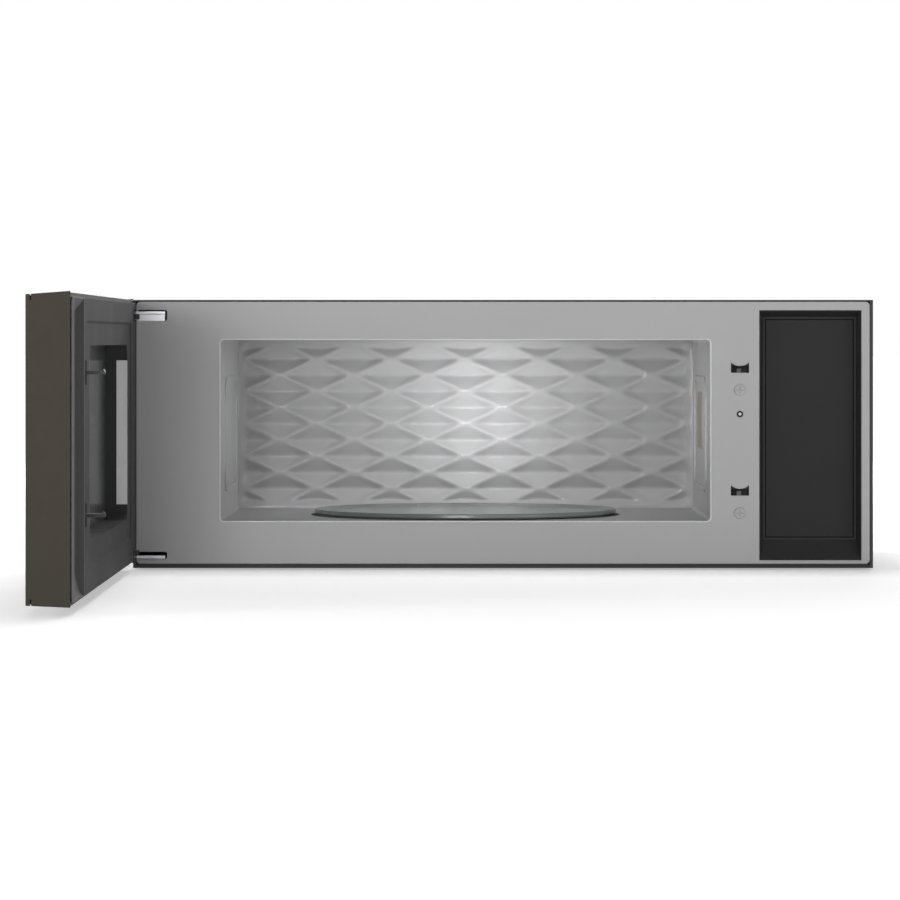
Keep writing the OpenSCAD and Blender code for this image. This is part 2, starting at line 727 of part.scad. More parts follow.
// The waveguide on the cavity's right wall, and the magnetron with its antenna
module waveguide() color([0.66, 0.67, 0.68]) {
    difference() {
        box(wall_x, wall_x + guide_d, guide_y - 42, guide_y + 42, guide_z - 42, guide_z + 42);
        box(wall_x - 1, wall_x + guide_d - sheet, guide_y - 41, guide_y + 41, guide_z - 41, guide_z + 41);
        rod_x(wall_x + guide_d - 2, wall_x + guide_d + 1, guide_y, guide_z, 10);
    }
}
module magnetron() color([0.72, 0.72, 0.73]) {
    body_x = wall_x + guide_d;
    rod_x(body_x - 22, body_x + 1, guide_y, guide_z, 8);
    difference() {
        box(body_x, body_x + 70, guide_y - 40, guide_y + 40, guide_z - 44, guide_z + 44);
        for (k = [0:6]) {
            box(body_x + 8 + 8 * k, body_x + 12 + 8 * k, guide_y - 41, guide_y + 41,
                guide_z - 45, guide_z - 26);
            box(body_x + 8 + 8 * k, body_x + 12 + 8 * k, guide_y - 41, guide_y + 41,
                guide_z + 26, guide_z + 45);
        }
    }
}

// The transformer: a core with two windows, and the windings around its middle limb
core_x = inner_w - 58;
core_y = y_front + 102;
core_h = 72;
module transformer_core() color([0.35, 0.36, 0.37]) {
    difference() {
        box(core_x - 44, core_x + 44, core_y - 24, core_y + 24, sheet, sheet + core_h);
        for (side = [-1, 1]) {
            box(core_x + side * 23.5 - 9, core_x + side * 23.5 + 9, core_y - 25, core_y + 25,
                sheet + 14, sheet + core_h - 14);
        }
    }
}
module transformer_windings() color([0.62, 0.34, 0.16]) {
    difference() {
        box(core_x - 31, core_x + 31, core_y - 40, core_y + 40, sheet + 14, sheet + core_h - 14);
        box(core_x - 14.5, core_x + 14.5, core_y - 24, core_y + 24, sheet + 13, sheet + core_h - 13);
    }
}

// The capacitor can with its strap and the diode on its terminals
module capacitor() color([0.66, 0.67, 0.68]) {
    can_y = core_y + 66;
    translate([core_x, can_y, sheet]) linear_extrude(80) round_rect(52, 32, 15);
    for (side = [-1, 1]) rod_z(core_x + side * 12, can_y, sheet + 79, sheet + 88, 3);
    box(core_x - 12, core_x + 12, can_y - 3, can_y + 3, sheet + 88 - eps, sheet + 93);
}

// The power board on the wrap's right side
module power_board() color([0.16, 0.42, 0.22]) {
    board_x = inner_w - 6;
    board_y = core_y + 90;
    board_z = cav_z + 100;
    box(board_x - 1.6, board_x, board_y - 85, board_y + 85, board_z - 40, board_z + 70);
    for (sy = [-1, 1], z = [board_z - 34, board_z + 64]) {
        rod_x(board_x - eps, inner_w, board_y + sy * 78, z, 3);
    }
    for (k = [0:2]) {
        box(board_x - 20, board_x - 1.6 + eps, board_y - 70 + 45 * k, board_y - 44 + 45 * k,
            board_z + 20, board_z + 40);
    }
}

// Thermal cut-outs on the cavity's roof
module thermal_cutouts() color([0.85, 0.85, 0.82]) {
    for (x = [cav_x1 - 40, cav_x0 + 60]) {
        rod_z(x, table_y - 60, cav_top + sheet, cav_top + sheet + 7, 8);
    }
}

// The black block behind the latch slots: for each hook a pocket with a ledge that its
// barb holds behind, and the bush that the sense plunger slides in
pocket_low = slot_h / 2 + 1;
module latch_block() color([0.09, 0.09, 0.1]) {
    ledge_y = y_in + hook_l - hook_tip - 0.8;
    difference() {
        union() {
            box(latch_x - block_w / 2, latch_x + block_w / 2, y_behind, y_behind + block_d,
                block_z0, block_z1);
            rod_y(latch_x, y_front, y_behind + eps, plunger_z, plunger_r + 1.8);
        }
        for (z = latch_z) {
            box(latch_x - slot_w / 2, latch_x + slot_w / 2, y_behind - 1, y_behind + 28,
                z - pocket_low, z + slot_h / 2 - tab_drop);
            box(latch_x - slot_w / 2, latch_x + slot_w / 2, ledge_y, y_behind + 28,
                z - pocket_low, z + slot_h / 2 + 1);
        }
        for (z = screw_z) rod_y(latch_x, y_behind - 1, y_behind + 14, z, 2.02);
        rod_y(latch_x, y_front - 1, y_behind + block_d + 1, plunger_z, plunger_r + pin_fit);
        rod_y(latch_x, y_behind + 6, y_behind + block_d - 4, plunger_z, plunger_r + 3);
    }
}

// Three door switches on the side of the latch block, and a lever under each hook's end
module interlock_switches() color([0.3, 0.3, 0.31]) {
    lever_y = y_in + hook_l + 2;
    for (z = [latch_z[0] - 8, latch_z[1] - 8, latch_z[1] - 28]) {
        box(latch_x - block_w / 2 - 6.4, latch_x - block_w / 2, y_behind + 12, y_behind + 32, z, z + 10);
    }
    for (z = latch_z) {
        box(latch_x - 2.2, latch_x + 2.2, lever_y, lever_y + 5, z - pocket_low, z - 1.3);
    }
}

// Two painted screws with cross recesses, which hold the latch block to the faceplate
module latch_screws() color([0.62, 0.62, 0.63]) {
    for (z = screw_z) {
        difference() {
            union() {
                rod_y(latch_x, y_front - 1.1, y_front, z, screw_head_r);
                rod_y(latch_x, y_front - 1.8, y_front - 1.1 + eps, z, screw_head_r - 0.8);
            }
            box(latch_x - 3.3, latch_x + 3.3, y_front - 3, y_front - 0.8, z - 0.6, z + 0.6);
            box(latch_x - 0.6, latch_x + 0.6, y_front - 3, y_front - 0.8, z - 3.3, z + 3.3);
        }
        rod_y(latch_x, y_front - eps, y_behind + 12, z, 2);
    }
}

// The cavity lamp in its holder, behind the ring of small holes in the right wall
module lamp_holder() color([0.75, 0.75, 0.74]) {
    difference() {
        rod_x(wall_x, wall_x + 34, y_front + 82, cav_top - 30, 14);
        rod_x(wall_x - 1, wall_x + 28, y_front + 82, cav_top - 30, 12.5);
    }
}
module cavity_lamp() color([0.95, 0.93, 0.85]) {
    translate([wall_x + 28, y_front + 82, cav_top - 30]) rotate([0, -90, 0]) rotate_extrude() {
        polygon([[0, 0], [5, 0], [5, 9], [7, 13], [6.2, 17], [4, 20], [0, 21.5]]);
    }
}

// The cooktop lamps: a housing over each hole in the base pan, and a lens in the hole
module cooktop_lamps() color([0.8, 0.8, 0.8]) {
    for (side = [-1, 1]) rod_z(side * lamp_x, lamp_y, sheet, sheet + 11, 24);
}
module cooktop_lenses() color([0.92, 0.93, 0.95]) {
    for (side = [-1, 1]) rod_z(side * lamp_x, lamp_y, 0, sheet, 19.8);
}

// Clips at the edges of the filter openings, which the grease filters stop against
module filter_clips() color([0.6, 0.61, 0.62]) {
    stop_z = grease_t + 0.6;
    for (x = [grease_left_x, grease_right_x], sx = [-1, 1], sy = [-1, 1]) {
        edge = x + sx * (grease_w / 2 + 0.5);
        y = table_y + sy * grease_l / 4;
        box(min(edge, edge + sx * 4), max(edge, edge + sx * 4), y - 6, y + 6, sheet, stop_z + 1.2);
        box(min(edge + sx * eps, edge - sx * 5), max(edge + sx * eps, edge - sx * 5),
            y - 6, y + 6, stop_z, stop_z + 1.2);
    }
}

// The turntable motor under the well, bored for the coupler's shaft
module turntable_motor() color([0.74, 0.74, 0.75]) {
    difference() {
        union() {
            rod_z(cav_x, table_y, well_z - sheet - table_motor_h, well_z - sheet, table_motor_r);
            box(cav_x - table_motor_r - 8, cav_x + table_motor_r + 8, table_y - 8, table_y + 8,
                well_z - sheet - 2, well_z - sheet);
        }
        rod_z(cav_x, table_y, well_z - sheet - 10, well_z - sheet + 1, coupler_r + pin_fit);
    }
}

// The vent blower: its housing, and the motor on the housing's inner plate
module blower_scroll() color([0.5, 0.51, 0.52]) {
    difference() {
        union() {
            rod_x(scroll_x0, scroll_x1, scroll_y, blower_z, scroll_r + scroll_t);
            box(scroll_x0, scroll_x1, scroll_y - scroll_r - scroll_t,
                scroll_y - scroll_r + chimney_l, blower_z, duct_z);
        }
        rod_x(scroll_x0 + scroll_t, scroll_x1 - scroll_t, scroll_y, blower_z, scroll_r);
        box(scroll_x0 + scroll_t, scroll_x1 - scroll_t, scroll_y - scroll_r,
            scroll_y - scroll_r + chimney_l - scroll_t, blower_z, duct_z + 1);
        rod_x(scroll_x0 - 1, scroll_x0 + scroll_t + 1, scroll_y, blower_z, blower_r * 0.75);
    }
}
blower_motor_l = 24;
module blower_motor() color([0.3, 0.31, 0.33]) {
    difference() {
        rod_x(scroll_x1 - scroll_t - blower_motor_l, scroll_x1 - scroll_t, scroll_y, blower_z, 22);
        rod_x(scroll_x1 - scroll_t - blower_motor_l - 1, scroll_x1 - scroll_t - 6,
            scroll_y, blower_z, shaft_r + pin_fit);
    }
}
module blower_wheel() color([0.14, 0.14, 0.15]) {
    wheel_x0 = scroll_x0 + scroll_t + 3;
    wheel_x1 = scroll_x1 - scroll_t - 4;
    hub_x = scroll_x1 - scroll_t - blower_motor_l - 2;
    rod_x(hub_x - 2.5, hub_x, scroll_y, blower_z, blower_r - 1);
    rod_x(hub_x - 10, hub_x, scroll_y, blower_z, 9);
    rod_x(hub_x - 1, scroll_x1 - scroll_t - 8, scroll_y, blower_z, shaft_r);
    for (x = [wheel_x0, wheel_x1 - 2]) {
        difference() {
            rod_x(x, x + 2, scroll_y, blower_z, blower_r);
            rod_x(x - 1, x + 3, scroll_y, blower_z, blower_r - 10);
        }
    }
    for (k = [0:blower_blades - 1]) {
        translate([0, scroll_y, blower_z]) rotate([k * 360 / blower_blades, 0, 0])
            translate([wheel_x0 + 1, blower_r - 9, -0.6]) cube([wheel_x1 - wheel_x0 - 2, 8.5, 1.2]);
    }
}

// The duct over the cavity, from the blower's mouth to the exhaust port
module air_duct() color([0.6, 0.61, 0.62]) {
    duct_x1 = port_w / 2 + 6;
    duct_y0 = scroll_y - scroll_r - scroll_t;
    duct_y1 = port_y1 + 5;
    difference() {
        box(scroll_x0, duct_x1, duct_y0, duct_y1, duct_z, body_h - sheet);
        box(scroll_x0 + sheet, duct_x1 - sheet, duct_y0 + sheet, duct_y1 - sheet,
            duct_z + sheet, body_h);
        box(scroll_x0 + scroll_t, scroll_x1 - scroll_t, duct_y0 + scroll_t,
            duct_y0 + chimney_l, duct_z - 1, duct_z + sheet + 1);
    }
}

// The exhaust collar in the top, and the damper flap that hangs in it
axle_r = 2;
axle_y = port_y0 + 5.5;
collar_in = 0.285 * (body_h - duct_z);
axle_z = body_h - 0.45 * collar_in;
module exhaust_adapter() color([0.6, 0.61, 0.62]) {
    difference() {
        union() {
            box(-port_w / 2, port_w / 2, port_y0, port_y1, body_h - collar_in, body_h + collar_h);
            box(-port_w / 2 - 8, port_w / 2 + 8, port_y0 - 8, port_y1 + 8, body_h, body_h + 1);
        }
        box(-port_w / 2 + 1.5, port_w / 2 - 1.5, port_y0 + 1.5, port_y1 - 1.5,
            body_h - collar_in - 1, body_h + collar_h + 1);
        rod_x(-port_w / 2 - 1, port_w / 2 + 1, axle_y, axle_z, axle_r + pin_fit);
    }
}
module damper_flap() color([0.66, 0.67, 0.68]) {
    rod_x(-port_w / 2 + 0.1, port_w / 2 - 0.1, axle_y, axle_z, axle_r);
    box(-port_w / 2 + 2.2, port_w / 2 - 2.2, axle_y, port_y1 - 2.2, axle_z - 0.5, axle_z + 0.5);
}

// The cooling fan in its baffle, behind the magnetron
module cooling_fan_frame() color([0.55, 0.56, 0.57]) {
    difference() {
        union() {
            box(wall_x + seam, inner_w - seam, fan_y, fan_y + 2, sheet, cav_top);
            rod_y(fan_x, fan_y, fan_y + 22, fan_z, fan_r + 4);
        }
        box(inner_w - sheet - seam, inner_w, fan_y - 1, fan_y + 3, 0, pan_flange + seam);
        rod_y(fan_x, fan_y - 1, fan_y + 23, fan_z, fan_r + 2.5);
    }
    for (turn = [45, 135]) {
        translate([fan_x, fan_y + 22, fan_z]) rotate([90, turn, 0]) translate([-fan_r - 3, -3, 0])
            cube([2 * fan_r + 6, 6, 3]);
    }
    difference() {
        rod_y(fan_x, fan_y + 13, fan_y + 22, fan_z, 17);
        rod_y(fan_x, fan_y + 12, fan_y + 19, fan_z, shaft_r + pin_fit);
    }
}
module cooling_fan_wheel() color([0.14, 0.14, 0.15]) {
    rod_y(fan_x, fan_y + 2, fan_y + 12, fan_z, 14);
    rod_y(fan_x, fan_y + 11, fan_y + 18, fan_z, shaft_r);
    for (k = [0:4]) {
        translate([fan_x, fan_y + 5, fan_z]) rotate([0, k * 72, 0])
            translate([10, 0, 0]) rotate([28, 0, 0]) translate([0, -0.9, -14]) cube([fan_r - 12, 1.8, 18]);
    }
}

// The gland that the supply cord leaves by
module cord_gland() color([0.05, 0.05, 0.055]) {
    difference() {
        union() {
            rod_z(half_w - 60, y_rear - 45, body_h, body_h + 2, 11);
            rod_z(half_w - 60, y_rear - 45, body_h - 5, body_h + 1, 8.9);
            rod_z(half_w - 60, y_rear - 45, body_h - sheet - 3, body_h - sheet, 11);
        }
        rod_z(half_w - 60, y_rear - 45, body_h - 6, body_h + 3, 4.5);
    }
}

// The black tray: slanting walls, a floor with the cover's opening, and the filter bay
module tray_hollow() {
    y0 = y_front - 1;
    run = (recess_deep + 1) / recess_deep;
    intersection() {
        linear_extrude(body_h) polygon([[floor_x0 - slope_side * run, y0], [floor_x1 + slope_side * run, y0],
            [floor_x1, y_floor], [floor_x0, y_floor]]);
        translate([recess_x0, 0, 0]) rotate([90, 0, 90]) linear_extrude(recess_w)
            polygon([[y0, floor_z0 - slope_low * run], [y_floor, floor_z0], [y_floor, floor_z1],
                [y0, floor_z1 + slope_top * run]]);
    }
}
module filter_tray() color([0.045, 0.045, 0.05]) {
    difference() {
        union() {
            box(recess_x0, recess_x1, y_front, y_floor + recess_t, recess_low, recess_z1);
            box(cover_x0 - cover_gap - recess_t, cover_x1 + cover_gap + recess_t, y_floor,
                y_floor + bay_d, cover_z0 - cover_gap - recess_t, cover_z1 + cover_gap + recess_t);
        }
        tray_hollow();
        box(cover_x0 - cover_gap, cover_x1 + cover_gap, y_floor - 1, y_floor + bay_d - recess_t,
            cover_z0 - cover_gap, cover_z1 + cover_gap);
        box(cover_x0 + 5, cover_x1 - 5, y_floor, y_floor + bay_d + 1, cover_z0 + 5, cover_z1 - 5);
    }
}

// The cover lies in the tray's floor and carries the charcoal filter behind it
cover_t = 2;
module filter_cover() color([0.07, 0.07, 0.075]) {
    box(cover_x0, cover_x1, y_floor, y_floor + cover_t, cover_z0, cover_z1);
    for (z = [cover_z0 + 8, cover_z1 - 8]) {
        box(recess_x - 15, recess_x + 15, y_floor + cover_t - eps, y_floor + cover_t + 8, z - 1, z + 1);
    }
}
module charcoal_filter() color([0.1, 0.1, 0.1]) {
    box(cover_x0 + 1, cover_x1 - 1, y_floor + cover_t, y_floor + cover_t + charcoal_t,
        cover_z0 + 9 + seam, cover_z1 - 9 - seam);
}

// The door's section in depth and height; in moves its upper and lower edges inwards
module door_section(in) {
    polygon([[y_in + front_n, door_z0 + taper_low + in], [y_in + fold_n, door_z0 + in],
        [y_in + fold_n, door_z1 - in], [y_in + front_n, door_z1 - taper_top - in]]);
}
module door_prism(x0, x1, in) {
    translate([x0, 0, 0]) rotate([90, 0, 90]) linear_extrude(x1 - x0) door_section(in);
}

// The door's skin: a front, four edges and the return lips, open for the glass in front
module door_skin() color([0.27, 0.25, 0.225]) hung() {
    difference() {
        union() {
            door_prism(door_x0, door_x1, ear);
            door_prism(door_x0, door_x0 + skin_t, 0);
            door_prism(door_x1 - skin_t, door_x1, 0);
        }
        intersection() {
            door_prism(door_x0 + skin_t, door_x1 - skin_t, ear + skin_t);
            door_box(door_x0, door_x1, front_n + skin_t, fold_n - skin_t, 0, body_h + 10);
        }
        door_box(door_x0 + skin_t, door_x1 - skin_t - skin_lip, fold_n - skin_t - 1, 1, lip_z0, lip_z1);
        door_box(door_x0 + glass_border, door_x1 - glass_border, front_n - 1, front_n + skin_t + 1,
            door_z0 + glass_border, door_z1 - glass_border);
        // the lower lip is left out under the finger pocket
        door_box(pocket_x0 - liner_t - seam, block_x1 + seam, fold_n - skin_t - 1, 1,
            door_z0 + ear + skin_t, lip_z0 + 1);
        // relief slits at the folded corners of the free edge
        for (z = [door_z0 - 1, door_z1 - taper_top - 5]) {
            door_box(door_x1 - skin_t - 1, door_x1 + 1, front_n + 3.8, front_n + 4.7, z, z + 8);
        }
        hinge_notches();
    }
}

// Room in the door's hinge corners for the plates, pins and bushes
module hinge_notches() {
    for (set = hinge_sets) {
        low = set[1] < 0 ? set[0] - pin_l - 2 : set[0] - 1;
        high = set[1] < 0 ? set[0] + hinge_t + 1 : set[0] + hinge_t + pin_l + 2;
        door_box(door_x0 - 1, hinge_x + hinge_w + 4, fold_n - 3, 1, low, high);
    }
}

// The outer glass
module door_glass() color([0.03, 0.03, 0.035]) hung() {
    door_box(door_x0 + glass_border + seam, door_x1 - glass_border - seam, front_n, carrier_n,
        door_z0 + glass_border + seam, door_z1 - glass_border - seam);
}

// The painted door frame: a carrier behind the glass, the choke wall, the ledge under the
// window's screen, and the two light flanges that line the window recess
module door_frame() color([0.68, 0.68, 0.69]) hung() {
    choke_x0 = win_x0 - 20;
    choke_x1 = win_x1 + 18;
    choke_z0 = window_z - 14;
    choke_z1 = win_z1 + 14;
    difference() {
        door_box(door_x0 + 4, choke_x1 + 4, carrier_n, carrier_n + carrier_t, door_z0 + 6, door_z1 - 7);
        door_box(win_x0 + 2, win_x1 - 2, carrier_n - 1, carrier_n + carrier_t + 1,
            window_z + 2, win_z1 - 2);
    }
    difference() {
        door_box(choke_x0, choke_x1, carrier_n, fold_n, choke_z0, choke_z1);
        door_box(choke_x0 + carrier_t, choke_x1 - carrier_t, carrier_n - 1, 1,
            choke_z0 + carrier_t, choke_z1 - carrier_t);
    }
    for (side = [0, 1]) {
        x0 = side == 0 ? choke_x0 + eps : win_x1 + eps;
        x1 = side == 0 ? win_x0 - eps : choke_x1 - eps;
        wall = side == 0 ? win_x0 - carrier_t : win_x1;
        door_box(x0, x1, fold_n - 1.2, fold_n, window_z + flange_in, win_z1 - flange_in);
        door_box(wall, wall + carrier_t, -flange_d, -sunk, window_z + flange_in, win_z1 - flange_in);
    }
    difference() {
        door_box(choke_x0 + eps, choke_x1 - eps, screen_n - screen_t - carrier_t, screen_n - screen_t,
            choke_z0 + eps, choke_z1 - eps);
        door_box(win_x0 + 2, win_x1 - 2, front_n, 0, window_z + 2, win_z1 - 2);
    }
}

// The perforated screen and the pane in front of it
module window_screen() color([0.1, 0.1, 0.105]) hung() {
    door_box(win_x0 - 8, win_x1 + 8, screen_n - screen_t, screen_n, window_z - 8, win_z1 + 8);
}
module inner_glass() color([0.2, 0.2, 0.21]) hung() {
    door_box(win_x0 - 8, win_x1 + 8, pane_n - pane_t, pane_n, window_z - 8, win_z1 + 8);
}

// The finger pocket: a straight back, a slanting top and a bottom that curves up
pocket_arc = [for (k = [0:10]) let (u = 1 - k / 10)
    [pocket_n * u, pocket_z0 + 0.6 + pocket_curve * pow(u, 2.2)]];
module pocket_hollow() {
    translate([pocket_x0, y_in, 0]) rotate([90, 0, 90]) linear_extrude(pocket_x1 - pocket_x0)
        polygon(concat(pocket_arc, [[1, pocket_z0 + 0.6], [1, pocket_z1], [0, pocket_z1],
            [pocket_n, pocket_z1 - pocket_slant]]));
}

// The sunk panel around the window, with edges that slope at 45 degrees and less
module sunk_hollow() {
    x0 = door_x0 + sunk_in;
    x1 = door_x1 - sunk_out;
    z0 = door_z0 + sunk_low;
    z1 = door_z1 - sunk_high;
    run = 2 * (sunk + 1) / sunk;
    intersection() {
        linear_extrude(body_h + 10) polygon([[x0 + 2, y_in - sunk], [x1 - 2, y_in - sunk],
            [x1 - 2 + run, y_in + 1], [x0 + 2 - run, y_in + 1]]);
        translate([door_x0, 0, 0]) rotate([90, 0, 90]) linear_extrude(door_w)
            polygon([[y_in - sunk, z0 + 2], [y_in - sunk, z1 - 2], [y_in + 1, z1 - 2 + run],
                [y_in + 1, z0 + 2 - run]]);
    }
}

// The plastic inner cover: rim, sunk panel, window recess and finger pocket
module door_liner() color([0.1, 0.1, 0.105]) hung() {
    difference() {
        union() {
            door_box(rim_x0, rim_x1, rim_n, 0, rim_z0, rim_z1);
            door_box(rim_x0 + 3, rim_x1 - 3, fold_n, rim_n + eps, rim_z0 + 3, rim_z1 - 3);
            round_slab(win_x0 - liner_t, win_x1 + liner_t, y_in - window_deep, y_in + rim_n,
                window_z - liner_t, win_z1 + liner_t, window_r + liner_t);
            door_box(pocket_x0 - liner_t, block_x1, pocket_n - liner_t, rim_n, pocket_z0, lip_z1 - seam);
        }
        round_slab(win_x0, win_x1, y_in - window_deep - 1, y_in + 1, window_z, win_z1, window_r);
        for (side = [-1, 1]) {
            wall = side < 0 ? win_x0 : win_x1;
            far = wall + side * (liner_t + 0.1);
            near = wall + side * (carrier_t + 0.1);
            door_box(min(wall - side, far), max(wall - side, far), -flange_d - 0.1, fold_n,
                window_z + flange_in - 0.1, win_z1 - flange_in + 0.1);
            door_box(min(wall - side, near), max(wall - side, near), fold_n - 0.1, 1,
                window_z + flange_in - 0.1, win_z1 - flange_in + 0.1);
        }
        pocket_hollow();
        sunk_hollow();
        for (z = latch_z) {
            door_box(latch_x - hook_w / 2 - 1, latch_x + hook_w / 2 + 1, fold_n - 1, 1,
                z - hook_drop - 10.8, z - hook_drop + 10.8);
        }
        hinge_notches();
    }
    // rails that the latch key slides between
    for (side = [-1, 1], z = [latch_z[0] + 30, latch_z[1] - 30]) {
        x = latch_x + side * (hook_w / 2 + 1.5);
        door_box(x - 1, x + 1, key_n0 - 2.4, fold_n + eps, z - 10, z + 10);
        door_box(min(x, x - side * 3.5), max(x, x - side * 3.5), key_n0 - 2.4, key_n0 - 0.4, z - 10, z + 10);
    }
    // ledge under the spring
    door_box(latch_x - 4, latch_x + 4, key_n0 - 1, fold_n + eps, latch_z[0] - 42, latch_z[0] - 40);
}

// The display and the control board behind the outer glass
module display_module() color([0.06, 0.07, 0.08]) hung() {
    door_box(recess_x - 42, recess_x + 42, carrier_n, carrier_n + 8, door_z1 - 110, door_z1 - 32);
}
module control_board() color([0.14, 0.38, 0.2]) hung() {
    door_box(recess_x - 46, recess_x + 46, carrier_n + 8, carrier_n + 9.6, door_z0 + 40, door_z1 - 24);
    for (k = [0:3]) {
        door_box(recess_x - 34 + 18 * k, recess_x - 22 + 18 * k, carrier_n, carrier_n + 8 + eps,
            door_z0 + 50, door_z0 + 62);
    }
}

// The latch key: one bar with both hooks; a barb on each hook slopes up from its tip
module latch_key() color([0.16, 0.16, 0.17]) hung() {
    door_box(latch_x - hook_w / 2, latch_x + hook_w / 2, key_n0, key_n1, latch_z[0] - 18, latch_z[1] + 12);
    for (z = latch_z) {
        low = z - hook_drop - hook_t / 2;
        high = z - hook_drop + hook_t / 2;
        translate([latch_x - hook_w / 2, y_in, 0]) rotate([90, 0, 90]) linear_extrude(hook_w)
            polygon([[key_n1 - 1, low], [hook_l - 0.8, low], [hook_l, low + 0.8], [hook_l, high - 0.6],
                [hook_l - 1.2, high + barb], [hook_l - hook_tip, high + barb], [hook_l - hook_tip, high],
                [key_n1 - 1, high]]);
    }
}

// A wire wound about the upright axis through (x, y)
spring_turns = 9;
spring_r = 2.6;
wire_r = 0.45;
steps = 16;
sides = 6;
module coil(x, y, z0, z1) {
    rings = spring_turns * steps;
    pts = [for (k = [0:rings]) let (a = 360 * k / steps, z = z0 + wire_r + (z1 - z0 - 2 * wire_r) * k / rings)
        for (s = [0:sides - 1]) let (b = 360 * s / sides, r = spring_r + wire_r * cos(b))
            [x + r * cos(a), y + r * sin(a), z + wire_r * sin(b)]];
    skin = [for (k = [0:rings - 1]) for (s = [0:sides - 1]) let (t = (s + 1) % sides, p = k * sides)
        each [[p + s, p + sides + s, p + t], [p + t, p + sides + s, p + sides + t]]];
    caps = [[for (s = [0:sides - 1]) s], [for (s = [0:sides - 1]) rings * sides + sides - 1 - s]];
    polyhedron(points = pts, faces = concat(skin, caps));
}
module latch_spring() color([0.75, 0.75, 0.76]) hung() {
    coil(latch_x, y_in + (key_n0 + key_n1) / 2, latch_z[0] - 40, latch_z[0] - 18 - seam);
}

// The bushes that turn on the pins, each on a block inside the door
module hinge_bushes() color([0.12, 0.12, 0.13]) hung() {
    pivot_n = hinge_y - y_in;
    inside = door_x0 + skin_t;
    for (set = hinge_sets) {
        z0 = set[1] < 0 ? set[0] - bush_drop - bush_h : set[0] + hinge_t + bush_drop;
        z1 = z0 + bush_h;
        difference() {
            union() {
                rod_z(hinge_x, hinge_y, z0, z1, bush_r);
                door_box(hinge_x - 0.6, inside + eps, fold_n - 2.7, pivot_n, z0, z1);
                door_box(inside, hinge_x + 5, fold_n - 5, pivot_n, z0, z1);
                door_box(inside, door_x0 + 28, fold_n - 6, fold_n - 3.3, z0, z1);
            }
            rod_z(hinge_x, hinge_y, z0 - 1, z1 + 1, pin_r + pin_fit);
        }
    }
}

// The sense plunger between the latch slots
module sense_plunger() color([0.8, 0.8, 0.8]) {
    rod_y(latch_x, y_front - 1, y_behind + block_d - 6, plunger_z, plunger_r);
    rod_y(latch_x, y_behind + 6 + seam, y_behind + 9, plunger_z, plunger_r + 2);
}

// A grease filter: a frame around a mesh, with a pull tab
module grease_filter(x) {
    z0 = 0.3;
    difference() {
        box(x - grease_w / 2, x + grease_w / 2, table_y - grease_l / 2, table_y + grease_l / 2,
            z0, z0 + grease_t);
        box(x - grease_w / 2 + 8, x + grease_w / 2 - 8, table_y - grease_l / 2 + 8,
            table_y + grease_l / 2 - 8, z0 - 1, z0 + grease_t + 1);
    }
    box(x - grease_w / 2 + 7, x + grease_w / 2 - 7, table_y - grease_l / 2 + 7,
        table_y + grease_l / 2 - 7, z0 + 2, z0 + grease_t - 2);
    box(x - 12, x + 12, table_y - grease_l / 2 + 6, table_y - grease_l / 2 + 14, z0, z0 + 3);
}
module grease_filter_left() color([0.7, 0.71, 0.72]) {
    grease_filter(grease_left_x);
}
module grease_filter_right() color([0.7, 0.71, 0.72]) {
    grease_filter(grease_right_x);
}

// The coupler on the turntable motor's shaft
module drive_coupler() color([0.85, 0.85, 0.83]) {
    rod_z(cav_x, table_y, well_z - sheet - 9, well_z + 1, coupler_r);
    rod_z(cav_x, table_y, well_z + 0.4, coupler_top, 9);
    for (turn = [90, 210, 330]) {
        translate([cav_x, table_y, coupler_top - 5]) rotate([0, 0, turn])
            translate([0, -3.5, 0]) cube([wing_l, 7, 5]);
    }
}

// The glass tray, with three lugs that the coupler's wings turn
module glass_tray() color([0.16, 0.17, 0.17]) {
    translate([cav_x, table_y, tray_z]) {
        rotate_extrude($fn = 128) polygon([[0, 0], [tray_r - 14, 0], [tray_r - 1.4, tray_rim],
            [tray_r, tray_rim + 1.4], [tray_r, tray_rim + tray_t - 1.2],
            [tray_r - 1.2, tray_rim + tray_t], [tray_r - 3, tray_rim + tray_t],
            [tray_r - 16, tray_t], [0, tray_t]]);
        for (turn = [30, 150, 270]) {
            rotate([0, 0, turn]) translate([14, 0, -3.5]) cylinder(r = 2.5, h = 3.5 + eps);
        }
    }
}

// The ring that carries the three rollers, each on its own stub axle
roller_turns = [-90, 30, 150];
stub_r = 2;
module roller_ring() color([0.88, 0.88, 0.86]) {
    ring_out = roller_ring_r - roller_w / 2 - 2;
    difference() {
        rod_z(cav_x, table_y, roller_z - 2.5, roller_z + 2.5, ring_out);
        rod_z(cav_x, table_y, roller_z - 3.5, roller_z + 3.5, ring_out - 9);
    }
    for (turn = roller_turns) {
        translate([cav_x, table_y, roller_z]) rotate([0, 90, turn]) {
            translate([0, 0, ring_out - 1]) cylinder(r = stub_r, h = roller_w + 5);
            translate([0, 0, ring_out + roller_w + 2.8]) cylinder(r = stub_r + 1, h = 1.2);
        }
    }
}
module roller(turn) {
    translate([cav_x, table_y, roller_z]) rotate([0, 90, turn])
        translate([0, 0, roller_ring_r - roller_w / 2]) difference() {
            cylinder(r = roller_r, h = roller_w);
            translate([0, 0, -1]) cylinder(r = stub_r + pin_fit, h = roller_w + 2);
        }
}
module roller_front() color([0.82, 0.82, 0.8]) roller(roller_turns[0]);
module roller_right() color([0.82, 0.82, 0.8]) roller(roller_turns[1]);
module roller_left() color([0.82, 0.82, 0.8]) roller(roller_turns[2]);

